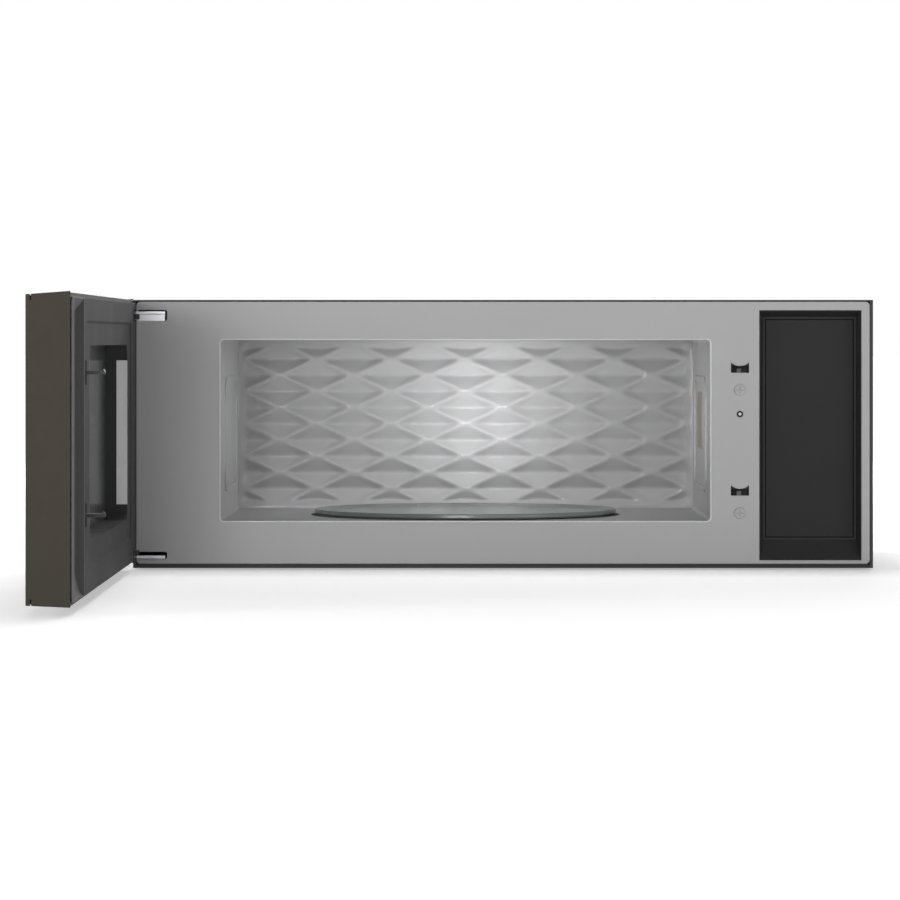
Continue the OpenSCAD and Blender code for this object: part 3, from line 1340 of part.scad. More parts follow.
outer_wrap();
base_pan();
back_plate();
wall_bracket();
wrap_fasteners();
front_frame();
hinge_upper();
hinge_lower();
cavity_shell();
cavity_floor();
cavity_back();
mica_cover();
waveguide();
magnetron();
transformer_core();
transformer_windings();
capacitor();
power_board();
thermal_cutouts();
latch_block();
interlock_switches();
latch_screws();
cavity_lamp();
lamp_holder();
cooktop_lamps();
cooktop_lenses();
filter_clips();
turntable_motor();
blower_scroll();
blower_motor();
air_duct();
cooling_fan_frame();
exhaust_adapter();
cord_gland();
filter_tray();
door_skin();
door_glass();
door_frame();
window_screen();
inner_glass();
door_liner();
display_module();
control_board();
latch_spring();
hinge_bushes();
latch_key();
sense_plunger();
filter_cover();
charcoal_filter();
grease_filter_left();
grease_filter_right();
drive_coupler();
glass_tray();
roller_ring();
roller_front();
roller_left();
roller_right();
blower_wheel();
cooling_fan_wheel();
damper_flap();
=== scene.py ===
# %% [markdown]
# # Over-the-range microwave
# The solids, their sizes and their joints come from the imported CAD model. This script gives them
# their finishes, adds the few surfaces that CAD leaves plain, and sets up the studio.

# %% Load the frame
import json
import math

import bpy
import numpy as np
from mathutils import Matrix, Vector


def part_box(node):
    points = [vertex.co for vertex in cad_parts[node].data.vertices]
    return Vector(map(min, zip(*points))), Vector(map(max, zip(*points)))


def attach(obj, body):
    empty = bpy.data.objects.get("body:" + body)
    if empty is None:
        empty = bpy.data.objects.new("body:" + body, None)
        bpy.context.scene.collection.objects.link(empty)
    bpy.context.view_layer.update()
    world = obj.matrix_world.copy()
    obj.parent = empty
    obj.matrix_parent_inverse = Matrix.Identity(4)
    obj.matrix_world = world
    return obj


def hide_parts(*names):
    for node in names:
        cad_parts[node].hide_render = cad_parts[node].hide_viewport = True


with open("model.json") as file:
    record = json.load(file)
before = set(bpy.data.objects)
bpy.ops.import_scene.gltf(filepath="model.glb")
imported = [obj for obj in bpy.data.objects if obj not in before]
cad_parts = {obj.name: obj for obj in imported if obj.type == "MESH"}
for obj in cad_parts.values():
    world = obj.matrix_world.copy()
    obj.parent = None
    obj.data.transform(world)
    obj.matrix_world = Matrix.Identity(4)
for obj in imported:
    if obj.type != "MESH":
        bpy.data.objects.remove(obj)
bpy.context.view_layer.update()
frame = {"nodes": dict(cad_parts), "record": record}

# %% [markdown]
# ## Node groups
# The real surfaces share a few effects: orange peel in paint, fine lines in rolled steel, the spark
# texture of moulded plastic, and a film of dust on faces that look up. Each could be drawn again in
# every material. Here each is a group that is built once, so that all finishes use it with their own
# values. A group puts out only masks and heights; the shader stays in the material.


# %% A helper that builds a node group
def build_group(name, inputs, outputs):
    """An empty shader group with inputs {name: default} and float outputs, and its two end nodes."""
    group = bpy.data.node_groups.new(name, "ShaderNodeTree")
    for label, default in inputs.items():
        kind = "NodeSocketVector" if isinstance(default, tuple) else "NodeSocketFloat"
        socket = group.interface.new_socket(label, in_out="INPUT", socket_type=kind)
        socket.default_value = default
    for label in outputs:
        group.interface.new_socket(label, in_out="OUTPUT", socket_type="NodeSocketFloat")
    return group, group.nodes.new("NodeGroupInput"), group.nodes.new("NodeGroupOutput")


def node(tree, kind, links=(), **values):
    """Adds a node, sets its properties and named inputs, and links {input name: output socket}."""
    made = tree.nodes.new(kind)
    for key, value in values.items():
        if hasattr(made, key):
            setattr(made, key, value)
        else:
            made.inputs[key.replace("_", " ")].default_value = value
    for label, socket in dict(links).items():
        tree.links.new(socket, made.inputs[label])
    return made


def noise(tree, vector, scale, detail=2.0, roughness=0.5):
    """A noise texture read at the vector socket, as its factor output."""
    made = node(tree, "ShaderNodeTexNoise", {"Vector": vector})
    made.inputs["Scale"].default_value = scale
    made.inputs["Detail"].default_value = detail
    made.inputs["Roughness"].default_value = roughness
    return made.outputs["Fac"]


def maths(tree, operation, a, b=None, clamp=False):
    """One Math node; a and b are sockets or numbers."""
    made = tree.nodes.new("ShaderNodeMath")
    made.operation = operation
    made.use_clamp = clamp
    for slot, value in enumerate((a, b)):
        if value is None:
            continue
        if isinstance(value, (int, float)):
            made.inputs[slot].default_value = value
        else:
            tree.links.new(value, made.inputs[slot])
    return made.outputs[0]


def between(tree, value, low, high, out_low=0.0, out_high=1.0):
    """Maps a value from one range to another, held at the ends."""
    made = node(tree, "ShaderNodeMapRange", {"Value": value})
    for label, number in (("From Min", low), ("From Max", high), ("To Min", out_low), ("To Max", out_high)):
        made.inputs[label].default_value = number
    return made.outputs["Result"]


# %% Paint, rolled steel, moulded plastic and dust
def make_peel_group():
    """Height = soft noise at the peel's scale; Tone = slow cloud plus fine speckle, about 0.5."""
    group, start, out = build_group("orange_peel", {"Peel": 900.0, "Speckle": 2600.0}, ("Height", "Tone"))
    spot = node(group, "ShaderNodeTexCoord").outputs["Object"]
    peel = node(group, "ShaderNodeTexNoise", {"Vector": spot, "Scale": start.outputs["Peel"]})
    peel.inputs["Detail"].default_value = 1.0
    speckle = node(group, "ShaderNodeTexNoise", {"Vector": spot, "Scale": start.outputs["Speckle"]})
    speckle.inputs["Detail"].default_value = 0.0
    cloud = noise(group, spot, 6.0, 3.0)
    tone = maths(group, "ADD", maths(group, "MULTIPLY", speckle.outputs["Fac"], 0.5),
                 maths(group, "MULTIPLY", cloud, 0.5))
    group.links.new(peel.outputs["Fac"], out.inputs["Height"])
    group.links.new(tone, out.inputs["Tone"])
    return group


def make_rolled_group():
    """Height and Tone = noise read at object coordinates times Stretch, so that it draws out into lines."""
    group, start, out = build_group("rolled_lines", {"Stretch": (4.0, 700.0, 700.0)}, ("Height", "Tone"))
    spot = node(group, "ShaderNodeTexCoord").outputs["Object"]
    drawn = node(group, "ShaderNodeVectorMath", operation="MULTIPLY")
    group.links.new(spot, drawn.inputs[0])
    group.links.new(start.outputs["Stretch"], drawn.inputs[1])
    lines = noise(group, drawn.outputs[0], 1.0, 4.0, 0.65)
    broad = noise(group, drawn.outputs[0], 0.12, 2.0, 0.5)
    tone = maths(group, "ADD", maths(group, "MULTIPLY", lines, 0.65), maths(group, "MULTIPLY", broad, 0.35))
    group.links.new(lines, out.inputs["Height"])
    group.links.new(tone, out.inputs["Tone"])
    return group


def make_grain_group():
    """Height = small cells from two noises multiplied; Tone = slow cloud."""
    group, start, out = build_group("moulded_grain", {"Grain": 1800.0}, ("Height", "Tone"))
    spot = node(group, "ShaderNodeTexCoord").outputs["Object"]
    fine = node(group, "ShaderNodeTexNoise", {"Vector": spot, "Scale": start.outputs["Grain"]})
    fine.inputs["Detail"].default_value = 2.0
    cell = node(group, "ShaderNodeTexVoronoi", {"Vector": spot, "Scale": start.outputs["Grain"]})
    height = maths(group, "MULTIPLY", fine.outputs["Fac"], cell.outputs["Distance"])
    group.links.new(height, out.inputs["Height"])
    group.links.new(noise(group, spot, 9.0, 3.0), out.inputs["Tone"])
    return group


def make_dust_group():
    """Dust = how far the face looks up, times a patchy noise."""
    group, start, out = build_group("dust_film", {"Amount": 0.3}, ("Dust",))
    coordinate = node(group, "ShaderNodeTexCoord")
    split = node(group, "ShaderNodeSeparateXYZ", {"Vector": coordinate.outputs["Normal"]})
    up = between(group, split.outputs["Z"], 0.5, 1.0)
    patch = between(group, noise(group, coordinate.outputs["Object"], 22.0, 5.0, 0.62), 0.35, 0.75)
    dust = maths(group, "MULTIPLY", maths(group, "MULTIPLY", up, patch), start.outputs["Amount"], clamp=True)
    group.links.new(dust, out.inputs["Dust"])
    return group


PEEL = make_peel_group()
ROLLED = make_rolled_group()
GRAIN = make_grain_group()
DUST = make_dust_group()

# %% [markdown]
# ## Finishes
# A finish is one Principled shader with a colour that varies a little, a roughness that follows the same
# mask, and a bump. It could be one flat colour each, but paint, steel and plastic are told apart mostly by
# these small changes. The colours are written as display values from 0 to 255 and turned into scene values
# here. Three finishes also carry painted light and shade over their piece: painted shade darkens the door
# frame's flange except at the hinge's end of the window, painted light makes the liner lighter in the finger
# pocket, and the quilt's faces get painted light where they look towards the oven's middle and painted shade
# where they look away, as the light inside the oven would leave them.


# %% Colour and material helpers
TONE_RANGE = (0.3, 0.7)  # this part of a group's Tone is drawn out to 0..1, and values beyond it are held
DUST_ROUGHNESS = 0.4  # what full dust adds to the roughness


def display(*levels):
    """Scene-linear colour of display levels 0..255; one level gives a grey."""
    levels = levels * 3 if len(levels) == 1 else levels
    share = np.array(levels) / 255.0
    linear = np.where(share <= 0.04045, share / 12.92, ((share + 0.055) / 1.055) ** 2.4)
    return tuple(float(v) for v in linear) + (1.0,)


DUST_COLOUR = display(150, 146, 138)


def mixed_colour(tree, factor, a, b, blend_type="MIX"):
    """The colour between a and b, or b blended over a; factor, a and b are sockets or fixed values."""
    made = node(tree, "ShaderNodeMix", data_type="RGBA", blend_type=blend_type)
    sockets = {"Factor": made.inputs["Factor"]}
    sockets.update({socket.name: socket for socket in made.inputs if socket.type == "RGBA"})
    for label, value in (("Factor", factor), ("A", a), ("B", b)):
        if isinstance(value, bpy.types.NodeSocket):
            tree.links.new(value, sockets[label])
        else:
            sockets[label].default_value = value
    return [socket for socket in made.outputs if socket.type == "RGBA"][0]


def use_group(tree, group, **values):
    """Places a shared group with its own values."""
    made = tree.nodes.new("ShaderNodeGroup")
    made.node_tree = group
    for label, value in values.items():
        made.inputs[label].default_value = value
    return made


def finish(name, group, colour, spread=0.06, rough=(0.35, 0.45), bump=0.1, depth=0.00002,
           metal=0.0, dust=0.0, coat=0.0, edge=0.0, group_values=None, **shader_values):
    """A Principled material: colour +- spread and roughness follow the group's Tone, bump its Height.
    edge is the radius in metres that sharp edges seem rounded to."""
    mat = bpy.data.materials.new(name)
    mat.use_nodes = True
    tree = mat.node_tree
    shader = tree.nodes["Principled BSDF"]
    effect = use_group(tree, group, **(group_values or {}))
    tone = between(tree, effect.outputs["Tone"], *TONE_RANGE)
    low = tuple(c * (1 - spread) for c in colour[:3]) + (1.0,)
    high = tuple(min(1.0, c * (1 + spread)) for c in colour[:3]) + (1.0,)
    base = mixed_colour(tree, tone, low, high)
    roughness = between(tree, effect.outputs["Tone"], *TONE_RANGE, *rough)
    if dust:
        film = use_group(tree, DUST, Amount=dust).outputs["Dust"]
        base = mixed_colour(tree, film, base, DUST_COLOUR)
        rougher = maths(tree, "MULTIPLY", film, DUST_ROUGHNESS)
        roughness = maths(tree, "ADD", roughness, rougher, clamp=True)
    tree.links.new(base, shader.inputs["Base Color"])
    tree.links.new(roughness, shader.inputs["Roughness"])
    shader.inputs["Metallic"].default_value = metal
    shader.inputs["Coat Weight"].default_value = coat
    if bump:
        relief = node(tree, "ShaderNodeBump", {"Height": effect.outputs["Height"]})
        relief.inputs["Strength"].default_value = bump
        relief.inputs["Distance"].default_value = depth
        if edge:
            rounded = node(tree, "ShaderNodeBevel", samples=4, Radius=edge)
            tree.links.new(rounded.outputs["Normal"], relief.inputs["Normal"])
        tree.links.new(relief.outputs["Normal"], shader.inputs["Normal"])
    for label, value in shader_values.items():
        shader.inputs[label.replace("_", " ")].default_value = value
    return mat


def paint_light_and_shade(mat, mask, low, high):
    """Multiplies a finish's colour by a grey that goes from low to high as mask(tree) goes from 0 to 1:
    painted light and shade over the piece.
    """
    tree = mat.node_tree
    base_colour = tree.nodes["Principled BSDF"].inputs["Base Color"]
    own = base_colour.links[0].from_socket
    painted_tone = mixed_colour(tree, mask(tree), (low, low, low, 1.0), (high, high, high, 1.0))
    tree.links.new(mixed_colour(tree, 1.0, own, painted_tone, "MULTIPLY"), base_colour)


def along_y(near, far):
    """A mask that is 0 where the object's Y is below near and 1 above far."""
    def mask(tree):
        spot = node(tree, "ShaderNodeTexCoord").outputs["Object"]
        split = node(tree, "ShaderNodeSeparateXYZ", {"Vector": spot})
        return between(tree, split.outputs["Y"], near, far)
    return mask


def by_attribute(label):
    """A mask that goes from 0 to 1 as the mesh attribute of that name goes from -1 to 1."""
    def mask(tree):
        read = node(tree, "ShaderNodeAttribute", attribute_name=label)
        return between(tree, read.outputs["Fac"], -1.0, 1.0)
    return mask


# %% Punched steel of the window screen
def punched_steel(pitch=0.0022, hole=0.00075, row_ratio=1.732, ahead=2.0, softness=0.15):
    """Painted steel with rows of round holes. A hole is where the distance to the nearest point of a
    lattice of that pitch, in the sheet's plane, is below its radius. The holes are dark. Y is moved ahead
    by 2 m first, because the open door lies at negative Y, where MODULO would count backwards."""
    row_pitch = pitch * row_ratio
    mat = bpy.data.materials.new("screen_steel")
    mat.use_nodes = True
    tree = mat.node_tree
    shader = tree.nodes["Principled BSDF"]
    spot = node(tree, "ShaderNodeTexCoord").outputs["Object"]
    axes = node(tree, "ShaderNodeSeparateXYZ", {"Vector": spot})

    def off_lattice(value, step, shift):
        """Distance along one axis to the nearest lattice line."""
        moved = maths(tree, "ADD", value, shift + 10 * step)
        return maths(tree, "ABSOLUTE", maths(tree, "SUBTRACT", maths(tree, "MODULO", moved, step), step / 2))

    nearest = None
    for shift in (0.0, 0.5):
        along = off_lattice(axes.outputs["Y"], pitch, ahead + shift * pitch)
        up = off_lattice(axes.outputs["Z"], row_pitch, shift * row_pitch)
        reach = maths(tree, "SQRT", maths(tree, "ADD", maths(tree, "MULTIPLY", along, along),
                                          maths(tree, "MULTIPLY", up, up)))
        nearest = reach if nearest is None else maths(tree, "MINIMUM", nearest, reach)
    steel = between(tree, nearest, hole * (1 - softness), hole * (1 + softness))
    tree.links.new(mixed_colour(tree, steel, display(12), display(64)), shader.inputs["Base Color"])
    tree.links.new(between(tree, steel, 0.0, 1.0, 0.9, 0.4), shader.inputs["Roughness"])
    relief = node(tree, "ShaderNodeBump", {"Height": steel})
    relief.inputs["Strength"].default_value = 0.5
    relief.inputs["Distance"].default_value = 0.0003
    tree.links.new(relief.outputs["Normal"], shader.inputs["Normal"])
    return mat


# %% The finishes, one for each slot of the record
LENGTHWISE = (900.0, 5.0, 900.0)
UPWARDS = (900.0, 900.0, 5.0)
ACROSS = (5.0, 900.0, 900.0)
FINISHES = {
    "black_paint": finish("black_paint", PEEL, display(20), 0.08, (0.45, 0.55), 0.25, dust=0.1,
                          edge=0.0006, Specular_IOR_Level=0.3),
    "pan_paint": finish("pan_paint", PEEL, display(26), 0.05, (0.45, 0.55), 0.2, edge=0.0005,
                        Specular_IOR_Level=0.2),
    "frame_paint": finish("frame_paint", PEEL, display(175, 175, 176), 0.02, (0.42, 0.48), 0.18, edge=0.0006,
                          Specular_IOR_Level=0.3),
    # The oven's enamel is a lighter grey than the quilt's copy of the same enamel: partly painted light on
    # the oven's walls and floor.
    "cavity_enamel": finish("cavity_enamel", PEEL, display(192, 192, 193), 0.02, (0.36, 0.42), 0.15,
                            coat=0.08, Coat_Roughness=0.12, Specular_IOR_Level=0.3),
    "galvanised": finish("galvanised", GRAIN, display(138, 141, 144), 0.07, (0.4, 0.5), 0.1, metal=0.9,
                         group_values={"Grain": 90.0}, edge=0.0004),
    "chrome": finish("chrome", ROLLED, display(104, 104, 107), 0.05, (0.26, 0.34), 0.05, metal=1.0,
                     group_values={"Stretch": ACROSS}, edge=0.0006),
    "mica": finish("mica", GRAIN, display(158, 150, 132), 0.12, (0.4, 0.6), 0.2),
    "core_steel": finish("core_steel", ROLLED, display(92, 94, 98), 0.2, (0.4, 0.6), 0.4, metal=0.7,
                         group_values={"Stretch": (5.0, 5.0, 1500.0)}),
    "copper": finish("copper", ROLLED, display(176, 92, 48), 0.2, (0.2, 0.35), 0.6, metal=0.9,
                     group_values={"Stretch": (20.0, 20.0, 1200.0)}),
    "board": finish("board", GRAIN, display(34, 92, 54), 0.1, (0.3, 0.4), 0.1),
    "ceramic": finish("ceramic", GRAIN, display(226, 224, 216), 0.03, (0.2, 0.3), 0.05),
    "black_plastic": finish("black_plastic", GRAIN, display(26), 0.08, (0.5, 0.6), 0.3,
                            Specular_IOR_Level=0.25),
    "grey_plastic": finish("grey_plastic", GRAIN, display(76), 0.06, (0.4, 0.5), 0.2),
    "tray_plastic": finish("tray_plastic", GRAIN, display(44, 44, 45), 0.05, (0.5, 0.58), 0.3, edge=0.0006,
                           Specular_IOR_Level=0.12),
    "cover_plastic": finish("cover_plastic", GRAIN, display(46, 46, 47), 0.03, (0.5, 0.58), 0.12, edge=0.0006,
                            Specular_IOR_Level=0.08),
    "bronze_steel": finish("bronze_steel", ROLLED, display(43, 40, 35), 0.12, (0.5, 0.6), 0.12, metal=0.8,
                           edge=0.0008, group_values={"Stretch": LENGTHWISE}, Specular_IOR_Level=0.2),
    "liner_plastic": finish("liner_plastic", GRAIN, display(69, 69, 70), 0.04, (0.55, 0.65), 0.2, edge=0.0008,
                            Specular_IOR_Level=0.04),
    "display_glass": finish("display_glass", GRAIN, display(24, 27, 30), 0.04, (0.08, 0.12), 0.0),
    "spring_steel": finish("spring_steel", ROLLED, display(190, 190, 193), 0.05, (0.25, 0.35), 0.05,
                           metal=1.0, group_values={"Stretch": UPWARDS}),
    "hook_plastic": finish("hook_plastic", GRAIN, display(60), 0.04, (0.4, 0.5), 0.1, edge=0.0004,
                           Specular_IOR_Level=0.15),
    "pin_plastic": finish("pin_plastic", GRAIN, display(214), 0.02, (0.25, 0.35), 0.05),
    "charcoal": finish("charcoal", GRAIN, display(26), 0.5, (0.6, 0.9), 1.0, 0.0008,
                       group_values={"Grain": 320.0}),
    "aluminium_mesh": finish("aluminium_mesh", ROLLED, display(186, 188, 190), 0.1, (0.3, 0.4), 0.2,
                             metal=1.0, group_values={"Stretch": LENGTHWISE}),
    "white_plastic": finish("white_plastic", GRAIN, display(222, 221, 216), 0.02, (0.3, 0.4), 0.1,
                            edge=0.0004),
    "fan_plastic": finish("fan_plastic", GRAIN, display(44, 44, 47), 0.05, (0.35, 0.45), 0.15),
    "gland_rubber": finish("gland_rubber", GRAIN, display(28), 0.1, (0.6, 0.75), 0.3),
    "motor_steel": finish("motor_steel", PEEL, display(88, 92, 96), 0.05, (0.35, 0.45), 0.2, edge=0.0005),
    "door_glass": finish("door_glass", GRAIN, display(14, 14, 16), 0.05, (0.08, 0.12), 0.0,
                         Specular_IOR_Level=0.25),
    "lamp_glass": finish("lamp_glass", GRAIN, display(240, 234, 214), 0.02, (0.05, 0.1), 0.0,
                         Transmission_Weight=0.9, IOR=1.45),
    "lens_glass": finish("lens_glass", GRAIN, display(236, 238, 240), 0.02, (0.3, 0.4), 0.5, 0.0003,
                         group_values={"Grain": 260.0}, Transmission_Weight=0.8, IOR=1.45),
    "pane_glass": finish("pane_glass", GRAIN, display(150, 152, 152), 0.02, (0.2, 0.24), 0.0,
                         Transmission_Weight=0.8, IOR=1.3, Specular_IOR_Level=0.3),
    # The tray glass's light grey-green is its own tint made lighter: partly painted light for the lit band in
    # the tray's middle.
    "tray_glass": finish("tray_glass", GRAIN, display(160, 166, 162), 0.02, (0.12, 0.18), 0.05,
                         Transmission_Weight=0.4, IOR=1.5),
    "screen_steel": punched_steel(),
}
# The door frame's near-white paint is its own light grey made lighter still: partly painted light on the
# window's flange.
DOOR_FRAME_PAINT_AND_SHADE = finish("door_frame_paint_and_shade", PEEL, display(250), 0.01, (0.4, 0.46), 0.1,
                          Specular_IOR_Level=0.3)
# Places along the open door, in metres of Y. Its hinge is at -0.40 and its other end at -1.15.
FLANGE_PAINTED_SHADE, FLANGE_OWN_COLOUR = -0.62, -0.58
POCKET_PAINTED_LIGHT, FACE_OWN_COLOUR = -1.040, -1.036
# Painted shade: the door frame's colour falls to 0.06 of itself towards the door's free end, so its flange in
# the window is dark there and light only at the hinge's end.
paint_light_and_shade(DOOR_FRAME_PAINT_AND_SHADE, along_y(FLANGE_PAINTED_SHADE, FLANGE_OWN_COLOUR), 0.06, 1.0)
# Painted light: the liner's colour is 2.8 times lighter in the finger pocket at the door's free end, which
# lies in shade.
paint_light_and_shade(FINISHES["liner_plastic"], along_y(POCKET_PAINTED_LIGHT, FACE_OWN_COLOUR), 2.8, 1.0)
QUILT_ENAMEL_AND_PAINTED_LIGHT = finish("quilt_enamel_and_painted_light", PEEL, display(170, 170, 171), 0.02, (0.48, 0.54), 0.15, coat=0.08,
                      Coat_Roughness=0.09, Specular_IOR_Level=0.25)
# Painted light and shade: the quilt's enamel is up to 1.15 times lighter on faces turned towards the oven's
# middle height and down to 0.85 on faces turned away.
paint_light_and_shade(QUILT_ENAMEL_AND_PAINTED_LIGHT, by_attribute("painted_light_tone"), 0.85, 1.15)
for part in frame["record"]["subparts"]:
    solid = frame["nodes"][part["node"]]
    solid.data.materials.clear()
    solid.data.materials.append(DOOR_FRAME_PAINT_AND_SHADE if part["node"] == "door_frame"
                                else FINISHES[part["material_slot"]])
print("finishes:", len(FINISHES))

# %% [markdown]
# ## The quilted back of the oven
# The oven's back wall is one enamelled sheet, pressed into rows of diamonds. Each diamond is a hollow
# with a level crease and broad faces that meet the flat web in soft bends. The CAD sheet has the same
# diamonds with knife edges. A subdivided copy would round its corners unevenly, so here the sheet is a
# fine height map: the hollow's depth is a formula of the place, and a blur gives the bends.


# %% A closed sheet from a height map
def closed_sheet(name, us, vs, front, back, axes):
    """A closed plate on the grid us x vs. Its front is the height map front[v, u], its back is flat at
    back; axes gives the world axis of u, v and height. The front faces against u cross v."""
    gu, gv = np.meshgrid(us, vs)
    top = np.empty((gu.size, 3))
    top[:, axes[0]], top[:, axes[1]], top[:, axes[2]] = gu.ravel(), gv.ravel(), front.ravel()
    index = np.arange(gu.size).reshape(gu.shape)
    ring = np.concatenate([index[0, :-1], index[:-1, -1], index[-1, :0:-1], index[:0:-1, 0]])
    under = top[ring].copy()
    under[:, axes[2]] = back
    quads = np.stack([index[:-1, :-1], index[:-1, 1:], index[1:, 1:], index[1:, :-1]], -1).reshape(-1, 4)
    low = gu.size + np.arange(ring.size)
    sides = np.stack([ring, low, np.roll(low, -1), np.roll(ring, -1)], -1)
    mesh = bpy.data.meshes.new(name)
    mesh.from_pydata(np.concatenate([top, under]), [], quads.tolist() + sides.tolist() + [low[::-1].tolist()])
    smooth = np.zeros(len(mesh.polygons), bool)
    smooth[:len(quads)] = True
    mesh.polygons.foreach_set("use_smooth", smooth)
    mesh.update()
    sheet = bpy.data.objects.new(name, mesh)
    bpy.context.scene.collection.objects.link(sheet)
    return sheet


def blurred(heights, step, width):
    """The height map smoothed by a bell curve of that width, both ways, held at its edges."""
    reach = int(3 * width / step)
    bell = np.exp(-0.5 * (np.arange(-reach, reach + 1) * step / width) ** 2)
    bell /= bell.sum()
    for axis in (0, 1):
        pad = [(0, 0), (0, 0)]
        pad[axis] = (reach, reach)
        wide = np.pad(heights, pad, mode="edge")
        size = heights.shape[axis]
        heights = sum(w * np.take(wide, np.arange(k, k + size), axis) for k, w in enumerate(bell))
    return heights


# %% The quilt
SHEET_LOW, SHEET_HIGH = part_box("cavity_back")
SHEET_EDGE = 0.001  # how far the sheet reaches past the oven's inside
OVEN = dict(x0=SHEET_LOW[0] + SHEET_EDGE, x1=SHEET_HIGH[0] - SHEET_EDGE,
            z0=SHEET_LOW[2] + SHEET_EDGE, z1=SHEET_HIGH[2] - SHEET_EDGE, back=SHEET_LOW[1])
OVEN["middle"] = (OVEN["x0"] + OVEN["x1"]) / 2
HALF_COLUMN = 0.041  # from a diamond's middle to its side tip, web included
ROW = 0.0179  # from a diamond's middle to its upper tip, web included
TOP_ROW = OVEN["z1"] - 0.0029  # the height of the uppermost diamonds' middles, in the level border


def quilt_depth(x, z, deep=0.0036, web=0.87, crease=0.62, flat=0.04):
    """How far the sheet is pressed back. In lattice units du, dv from the nearest diamond's middle, the
    depth is the lowest of: the full depth, the broad faces' slope in dv, and the end faces' slope in
    |du| + |dv|; outside |du| + |dv| = web it is nothing."""
    u = (x - OVEN["middle"]) / HALF_COLUMN
    v = (TOP_ROW - z) / ROW
    p, q = np.round((u + v) / 2), np.round((u - v) / 2)
    du, dv = np.abs(u - p - q), np.abs(v - p + q)
    broad = deep * (web - dv) / (web - flat)
    ends = deep * (web - du - dv) / (web - crease)
    return np.clip(np.minimum(broad, ends), 0.0, deep)


def inside_border(x, z, border=0.005, radius=0.008):
    """Distance inwards from a rounded outline that lies border inside the oven's walls."""
    half_x = (OVEN["x1"] - OVEN["x0"]) / 2 - border - radius
    half_z = (OVEN["z1"] - OVEN["z0"]) / 2 - border - radius
    away_x = np.abs(x - OVEN["middle"]) - half_x
    away_z = np.abs(z - (OVEN["z0"] + OVEN["z1"]) / 2) - half_z
    outside = np.hypot(np.maximum(away_x, 0), np.maximum(away_z, 0))
    return radius - outside - np.minimum(np.maximum(away_x, away_z), 0)


def store_painted_light_tone(sheet, front, z, step, level=0.162, above=0.055, below=0.095, steepest=0.2):
    """Attribute painted_light_tone: minus the slope, as a share of the steepest, times the height over level
    as a share of above or below. It nears +1 on faces turned to that level, which get painted light, and -1
    on those turned away, which get painted shade, and it is 0 at the level itself."""
    slope = np.clip(np.gradient(front, step, axis=0) / steepest, -1.0, 1.0)
    height = (z - level) / np.where(z > level, above, below)
    painted_light_tone = np.zeros(len(sheet.data.vertices), np.float32)
    painted_light_tone[:front.size] = np.clip(-slope * height, -1.0, 1.0).ravel()
    sheet.data.attributes.new("painted_light_tone", "FLOAT", "POINT").data.foreach_set("value", painted_light_tone)


def quilted_back(step=0.0011, web_drop=0.0012, rim=0.0015, fade=0.003, bend=0.0021):
    """The pressed sheet: border level, web web_drop behind it, diamonds behind the web, all bent softly."""
    xs = np.linspace(SHEET_LOW[0], SHEET_HIGH[0], int((SHEET_HIGH[0] - SHEET_LOW[0]) / step))
    zs = np.linspace(SHEET_LOW[2], SHEET_HIGH[2], int((SHEET_HIGH[2] - SHEET_LOW[2]) / step))
    x, z = np.meshgrid(xs, zs)
    within = inside_border(x, z)
    pressed = web_drop * np.clip(within / rim, 0, 1) + quilt_depth(x, z) * np.clip(within / fade, 0, 1)
    front = OVEN["back"] + blurred(pressed, step, bend)
    sheet = closed_sheet("quilted_back", xs, zs, front, SHEET_HIGH[1], (0, 2, 1))
    # The painted light and shade for the quilt's faces is stored on the sheet.
    store_painted_light_tone(sheet, front, z, step)
    sheet.data.materials.append(QUILT_ENAMEL_AND_PAINTED_LIGHT)
    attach(sheet, "body")
    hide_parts("cavity_back")
    print("quilt:", len(xs), "x", len(zs), "points, pressed by up to", float(front.max() - SHEET_LOW[1]))


quilted_back()

# %% [markdown]
# ## The bend around the oven's opening
# Where the faceplate turns into the oven its edge is a small round bend, which shows as a bright line.
# A modifier on the CAD plate would bend all its other edges too. The bend is a half-round bead carried
# round the opening's outline.


# %% A bead along a rounded rectangle
def rounded_outline(x0, x1, z0, z1, radius, corner_steps=10):
    """Points and outward directions of a rounded rectangle in the XZ plane, counterclockwise from -Y."""
    turn = np.linspace(0, np.pi / 2, corner_steps)
    angles = (np.arange(4)[:, None] * np.pi / 2 + turn[None, :]).ravel()
    corners = np.repeat([(x1 - radius, z1 - radius), (x0 + radius, z1 - radius),
                         (x0 + radius, z0 + radius), (x1 - radius, z0 + radius)], corner_steps, axis=0)
    outward = np.stack([np.cos(angles), np.sin(angles)], -1)
    return corners + radius * outward, outward


def bead_ring(name, outline, section, y):
    """A closed ring: each section point (out, forward) is set off from the outline point along its
    outward direction and towards the viewer."""
    points, outward = outline
    across, forward = section[:, 0], section[:, 1]
    ring = np.empty((len(points), len(section), 3))
    ring[..., 0] = points[:, None, 0] + outward[:, None, 0] * across
    ring[..., 1] = y - forward
    ring[..., 2] = points[:, None, 1] + outward[:, None, 1] * across
    i, j = np.meshgrid(np.arange(len(points)), np.arange(len(section)), indexing="ij")
    i2, j2 = (i + 1) % len(points), (j + 1) % len(section)
    n = len(section)
    quads = np.stack([i * n + j, i2 * n + j, i2 * n + j2, i * n + j2], -1).reshape(-1, 4)
    mesh = bpy.data.meshes.new(name)
    mesh.from_pydata(ring.reshape(-1, 3), [], quads.tolist())
    mesh.polygons.foreach_set("use_smooth", np.ones(len(quads), bool))
    mesh.update()
    bead = bpy.data.objects.new(name, mesh)
    bpy.context.scene.collection.objects.link(bead)
    return bead


